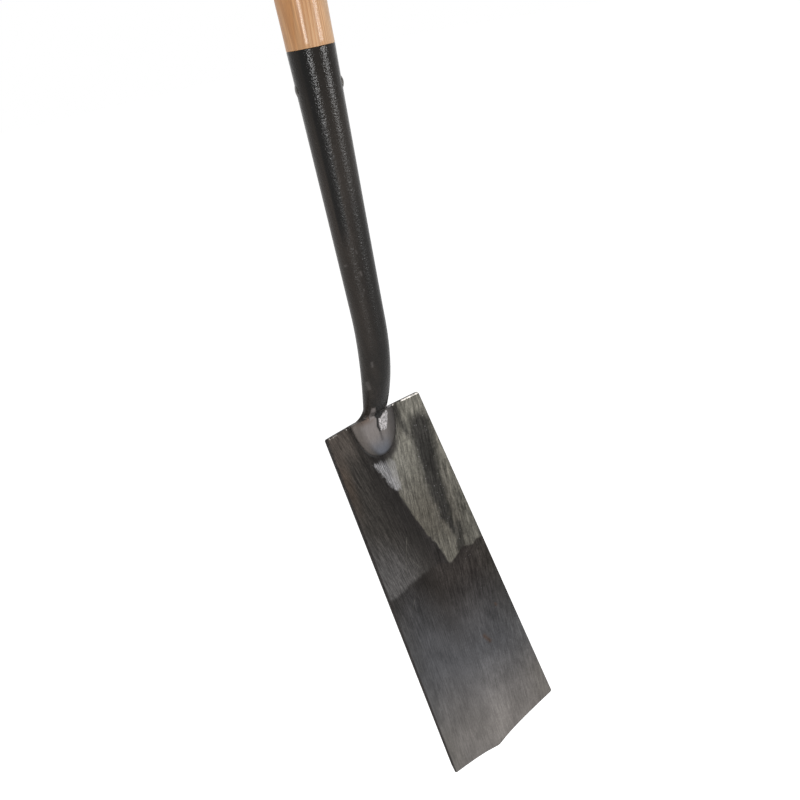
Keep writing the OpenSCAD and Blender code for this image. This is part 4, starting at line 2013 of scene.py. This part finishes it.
@dataclass
class Grip:
    """The T-grip: a turned crossbar on the shaft's tenon, with its wedge and its pin."""

    shoulder: float = 235.0
    shoulder_width: float = 30.0
    length: float = 130.0
    middle_width: float = 36.0
    middle_length: float = 42.0
    end_width: float = 30.0
    end_radius: float = 9.0
    tenon_width: float = 23.0
    wedge_thick: float = 4.5
    wedge_tip: float = 1.0
    wedge_depth: float = 20.0
    pin_width: float = 4.0
    pin_drop: float = 5.5
    pin_sink: float = 0.5
    pin_rim: float = 0.3
    wood_gap: float = 0.05
    edge_break: float = 0.25
    wedge_break: float = 0.15
    trim_start: float = 5.0
    slot_rise: float = 2.0
    housing_drop: float = 30.0
    mortise_drop: float = 1.0
    mortise_rise: float = 10.0
    middle_steps: int = 8
    taper_steps: int = 14
    round_steps: int = 10
    face_steps: int = 3
    pin_steps: int = 40
    slot_cuts: int = 1
    wedge_cuts: int = 7

    @property
    def axis(self) -> float:
        """Returns the height of the crossbar's axis, where the shaft's shoulder fills its housing."""
        housing = self.shoulder_width / 2 + self.wood_gap
        return self.shoulder + math.sqrt((self.middle_width / 2) ** 2 - housing**2)

    @property
    def crown(self) -> float:
        """Returns the height of the crossbar's top."""
        return self.axis + self.middle_width / 2

    def trimmed(self, spot: Vector) -> Vector:
        """Brings a point of the tenon's top down to the crossbar's round.

        Args:
            spot: The point.

        Returns:
            Its new place.
        """
        if spot.z <= self.shoulder + self.trim_start:
            return spot
        limit = self.axis + math.sqrt(max(0.0, (self.middle_width / 2) ** 2 - spot.y**2))
        return Vector((spot.x, spot.y, min(spot.z, limit)))

    def bar(self) -> bpy.types.Object:
        """Turns the crossbar and bores it for the shaft and the pin.

        Returns:
            The piece.
        """
        end = self.length / 2
        start = end - self.end_radius
        inner = self.end_width / 2 - self.end_radius
        middle = self.middle_length / 2
        stations = [middle * step / self.middle_steps for step in range(self.middle_steps)]
        half = [(self.middle_width / 2, station) for station in stations]
        for step in range(self.taper_steps + 1):
            share = step / self.taper_steps
            radius = mix(self.middle_width, self.end_width, ease(share)) / 2
            half.append((radius, mix(middle, start, share)))
        for step in range(1, self.round_steps + 1):
            share = step / self.round_steps
            radius = inner + self.end_radius * quarter_sine(1 - share)
            half.append((radius, start + self.end_radius * quarter_sine(share)))
        half += [(inner * step / self.face_steps, end) for step in reversed(range(self.face_steps))]
        outline = [(radius, -along) for radius, along in reversed(half[1:])] + half
        piece = turn("spade_grip_bar", outline, (0.0, 0.0, self.axis), (1.0, 0.0, 0.0))
        housing = self._plug(self.shoulder_width, self.shoulder - self.housing_drop, self.shoulder)
        cut_away(piece, turn("housing", housing))
        low, high = self.shoulder - self.mortise_drop, self.crown + self.mortise_rise
        cut_away(piece, turn("mortise", self._plug(self.tenon_width, low, high)))
        cut_away(piece, self._rod("pin_bore", self.pin_width / 2 + self.wood_gap, self.middle_width))
        soften(piece, self.edge_break)
        return piece

    def _plug(self, width: float, low: float, high: float) -> list[Spot]:
        """Returns the outline of a round plug on the shaft's axis, with room for the wood to move."""
        radius = width / 2 + self.wood_gap
        return [(0.0, low), (radius, low), (radius, high), (0.0, high)]

    def _rod(self, name: str, radius: float, half: float) -> bpy.types.Object:
        """Turns a rod through the crossbar from front to back.

        Args:
            name: Name of the rod.
            radius: Its radius.
            half: Half of its length.

        Returns:
            The rod.
        """
        rim = self.pin_rim
        outline = [(0.0, -half), (radius - rim, -half), (radius, -half + rim)]
        outline += [(radius, half - rim), (radius - rim, half), (0.0, half)]
        return turn(name, outline, (0.0, 0.0, self.axis - self.pin_drop), (0.0, 1.0, 0.0), self.pin_steps)

    def pin(self) -> bpy.types.Object:
        """Returns the pin, sunk a little at both ends."""
        half = math.sqrt((self.middle_width / 2) ** 2 - self.pin_drop**2) - self.pin_sink
        return self._rod("spade_grip_pin", self.pin_width / 2, half)

    def wedge_form(self, name: str, room: float) -> bpy.types.Object:
        """Shapes a cube into the tapered wedge.

        Args:
            name: Name of the form.
            room: Room added on each face for a slot, and 0 for the wedge itself.

        Returns:
            The wedge before it is trimmed to the tenon.
        """
        top = self.crown + (self.slot_rise if room else 0.0)
        tip = self.crown - self.wedge_depth - room
        chord = math.sqrt((self.tenon_width / 2) ** 2 - (self.wedge_thick / 2) ** 2)
        half = self.tenon_width if room else chord
        slope = (self.wedge_thick - self.wedge_tip) / 2 / self.wedge_depth
        deselect_all()
        bpy.ops.mesh.primitive_cube_add(size=1.0)
        piece = bpy.context.object
        piece.name = piece.data.name = name
        bpy.ops.object.mode_set(mode="EDIT")
        bpy.ops.mesh.select_all(action="SELECT")
        bpy.ops.mesh.subdivide(number_cuts=self.slot_cuts if room else self.wedge_cuts)
        bpy.ops.object.mode_set(mode="OBJECT")

        def shaped(spot: Vector) -> Vector:
            """Returns a corner of the cube at its place on the wedge."""
            x, y, z = spot * MM
            height = mix(tip, top, z + 0.5)
            thick = 2 * (self.wedge_tip / 2 + room + slope * (height - tip - room))
            return Vector((x * thick, y * 2 * half, height))

        move_points(piece, shaped)
        return piece

    def wedge(self) -> bpy.types.Object:
        """Returns the wedge, rounded off flush with the crossbar."""
        piece = self.wedge_form("spade_wedge", 0.0)
        move_points(piece, self.trimmed)
        soften(piece, self.wedge_break)
        return piece


@dataclass(frozen=True)
class Lamp:
    """A soft box: its direction from the spade in degrees, its distance, its size, its brightness and
    whether it shows in reflections."""

    name: str
    azimuth: float
    elevation: float
    distance: float
    size: Spot
    brightness: float
    mirrored: bool = True


def direction(azimuth: float, elevation: float) -> Vector:
    """Gives a direction from the spade.

    Args:
        azimuth: Degrees to the right of the front.
        elevation: Degrees above level.

    Returns:
        The direction, 1 long.
    """
    around, lift = math.radians(azimuth), math.radians(elevation)
    return Vector((math.sin(around) * math.cos(lift), -math.cos(around) * math.cos(lift), math.sin(lift)))


@dataclass(frozen=True)
class Studio:
    """A pale floor, soft light and the camera, in metres."""

    centre: Point = (0.0, 0.0, -0.55)
    floor: float = -1.25
    floor_size: float = 40.0
    floor_tone: tuple = (0.92, 0.92, 0.92, 1.0)
    floor_glow: float = 0.56
    white: tuple = (1.0, 1.0, 1.0, 1.0)
    daylight: float = 0.5
    lamps: tuple[Lamp, ...] = (
        Lamp("left_box", -54.0, 5.2, 2.4, (0.45, 0.46), 31.0),
        Lamp("right_box", 18.5, 5.2, 2.4, (0.76, 0.46), 19.5),
        Lamp("rear_box", -130.0, 6.0, 2.4, (1.6, 1.2), 1.4, False),
        Lamp("front_box", -8.0, 16.0, 2.4, (1.0, 1.0), 0.9, False),
        Lamp("top_box", -20.0, 75.0, 2.2, (1.6, 1.6), 1.2),
    )
    camera: Point = (-0.613297, -0.713759, -0.222923)
    azimuth: float = -41.4
    elevation: float = 19.2
    roll: float = -11.8
    lens: float = 51.75
    sensor: float = 36.0

    def build(self) -> None:
        """Sets up the floor, the light and the camera."""
        self._floor()
        self._sky()
        for lamp in self.lamps:
            self._lamp(lamp)
        self._camera()
        bpy.context.scene.view_settings.view_transform = "Standard"

    def _floor(self) -> None:
        """Lays a plain pale floor, which keeps the spade's shadow."""
        deselect_all()
        bpy.ops.mesh.primitive_plane_add(size=self.floor_size, location=(0.0, 0.0, self.floor))
        floor = bpy.context.object
        floor.name = "floor"
        material, graph, shader = new_material("floor_white")
        shader.inputs["Base Color"].default_value = self.floor_tone
        shader.inputs["Roughness"].default_value = 0.9
        shader.inputs["Specular IOR Level"].default_value = 0.0
        shader.inputs["Emission Color"].default_value = self.white
        graph.feed(shader.inputs["Emission Strength"], graph.product(self._seen(graph), self.floor_glow))
        floor.data.materials.append(material)

    @staticmethod
    def _seen(graph: Graph) -> Output:
        """Tells the rays that show the background from those that light the spade.

        Args:
            graph: The graph.

        Returns:
            1 for camera, glossy and transmission rays.
        """
        path = graph.node("ShaderNodeLightPath")
        rays = [path.outputs[name] for name in ("Is Camera Ray", "Is Glossy Ray", "Is Transmission Ray")]
        return any_of(graph, rays)

    def _sky(self) -> None:
        """Surrounds the scene with white, at a plain light level."""
        world = bpy.data.worlds.new("studio")
        bpy.context.scene.world = world
        world.use_nodes = True
        world.node_tree.nodes.clear()
        graph = Graph(world.node_tree)
        level = graph.between(self._seen(graph), self.daylight, 1.0)
        sky = graph.node("ShaderNodeBackground", {"Color": self.white, "Strength": level})
        graph.feed(graph.node("ShaderNodeOutputWorld").inputs["Surface"], sky.outputs["Background"])

    def _lamp(self, lamp: Lamp) -> None:
        """Hangs a soft box that looks at the spade.

        Args:
            lamp: The soft box.
        """
        away = direction(lamp.azimuth, lamp.elevation)
        deselect_all()
        bpy.ops.object.light_add(type="AREA", location=Vector(self.centre) + away * lamp.distance)
        box = bpy.context.object
        box.name = lamp.name
        box.rotation_euler = away.to_track_quat("Z", "Y").to_euler()
        box.data.shape = "RECTANGLE"
        box.data.size, box.data.size_y = lamp.size
        box.data.energy = lamp.brightness * math.pi * lamp.size[0] * lamp.size[1]
        box.visible_camera = False
        box.visible_glossy = lamp.mirrored

    def _camera(self) -> None:
        """Places the camera at the photograph's viewing angle."""
        back = direction(self.azimuth, self.elevation)
        lean = math.radians(self.roll)
        level = (-back).cross(Vector((0.0, 0.0, 1.0))).normalized()
        rise = level.cross(-back)
        right = level * math.cos(lean) + rise * math.sin(lean)
        upward = -level * math.sin(lean) + rise * math.cos(lean)
        deselect_all()
        bpy.ops.object.camera_add()
        camera = bpy.context.object
        camera.name = "camera"
        turned = Matrix((right, upward, back)).transposed().to_4x4()
        camera.matrix_world = Matrix.Translation(self.camera) @ turned
        camera.data.sensor_width, camera.data.lens = self.sensor, self.lens
        camera.data.clip_start, camera.data.clip_end = 0.01, 100.0
        bpy.context.scene.camera = camera


def main() -> None:
    """Builds the spade's pieces in order, dresses them and sets up the studio."""
    logging.basicConfig(level=logging.INFO, format="%(message)s")
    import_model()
    Studio().build()
    effects = Effects()
    lean = Lean()
    blade = Blade(lean)
    socket = Socket(blade)
    rivet = Rivet(socket)
    grip = Grip()
    shaft = Shaft(socket)
    steel = FastenerSteel().material(effects)
    pale, tan, early = tone(196, 166, 134), tone(172, 126, 82), tone(150, 100, 56)
    ash = ClearWood("clear_ash", Grain.ALONG_SHAFT, pale, tan, early).material(effects)
    bar_pith = (40.0, 190.0, 0.0)
    bar_ash = ClearWood("clear_ash_bar", Grain.ALONG_BAR, pale, tan, early, bar_pith).material(effects)
    wedge_wood = ClearWood(
        "wedge_wood", Grain.ALONG_SHAFT, tone(150, 104, 66), tone(134, 90, 56), tone(100, 62, 38), spacing=1.2
    ).material(effects)
    hand_over(blade.build(), "blade", GroundSteel(blade, socket.toe).material(effects))
    hand_over(socket.build(), "socket", BlackLacquer(lean, socket.toe).material(effects))
    hand_over(rivet.build(), "socket_rivet", steel)
    hand_over(shaft.build(grip), "shaft", ash)
    hand_over(grip.bar(), "grip_bar", bar_ash)
    hand_over(grip.wedge(), "tenon_wedge", wedge_wood)
    hand_over(grip.pin(), "grip_pin", steel)


if __name__ == "__main__":
    main()
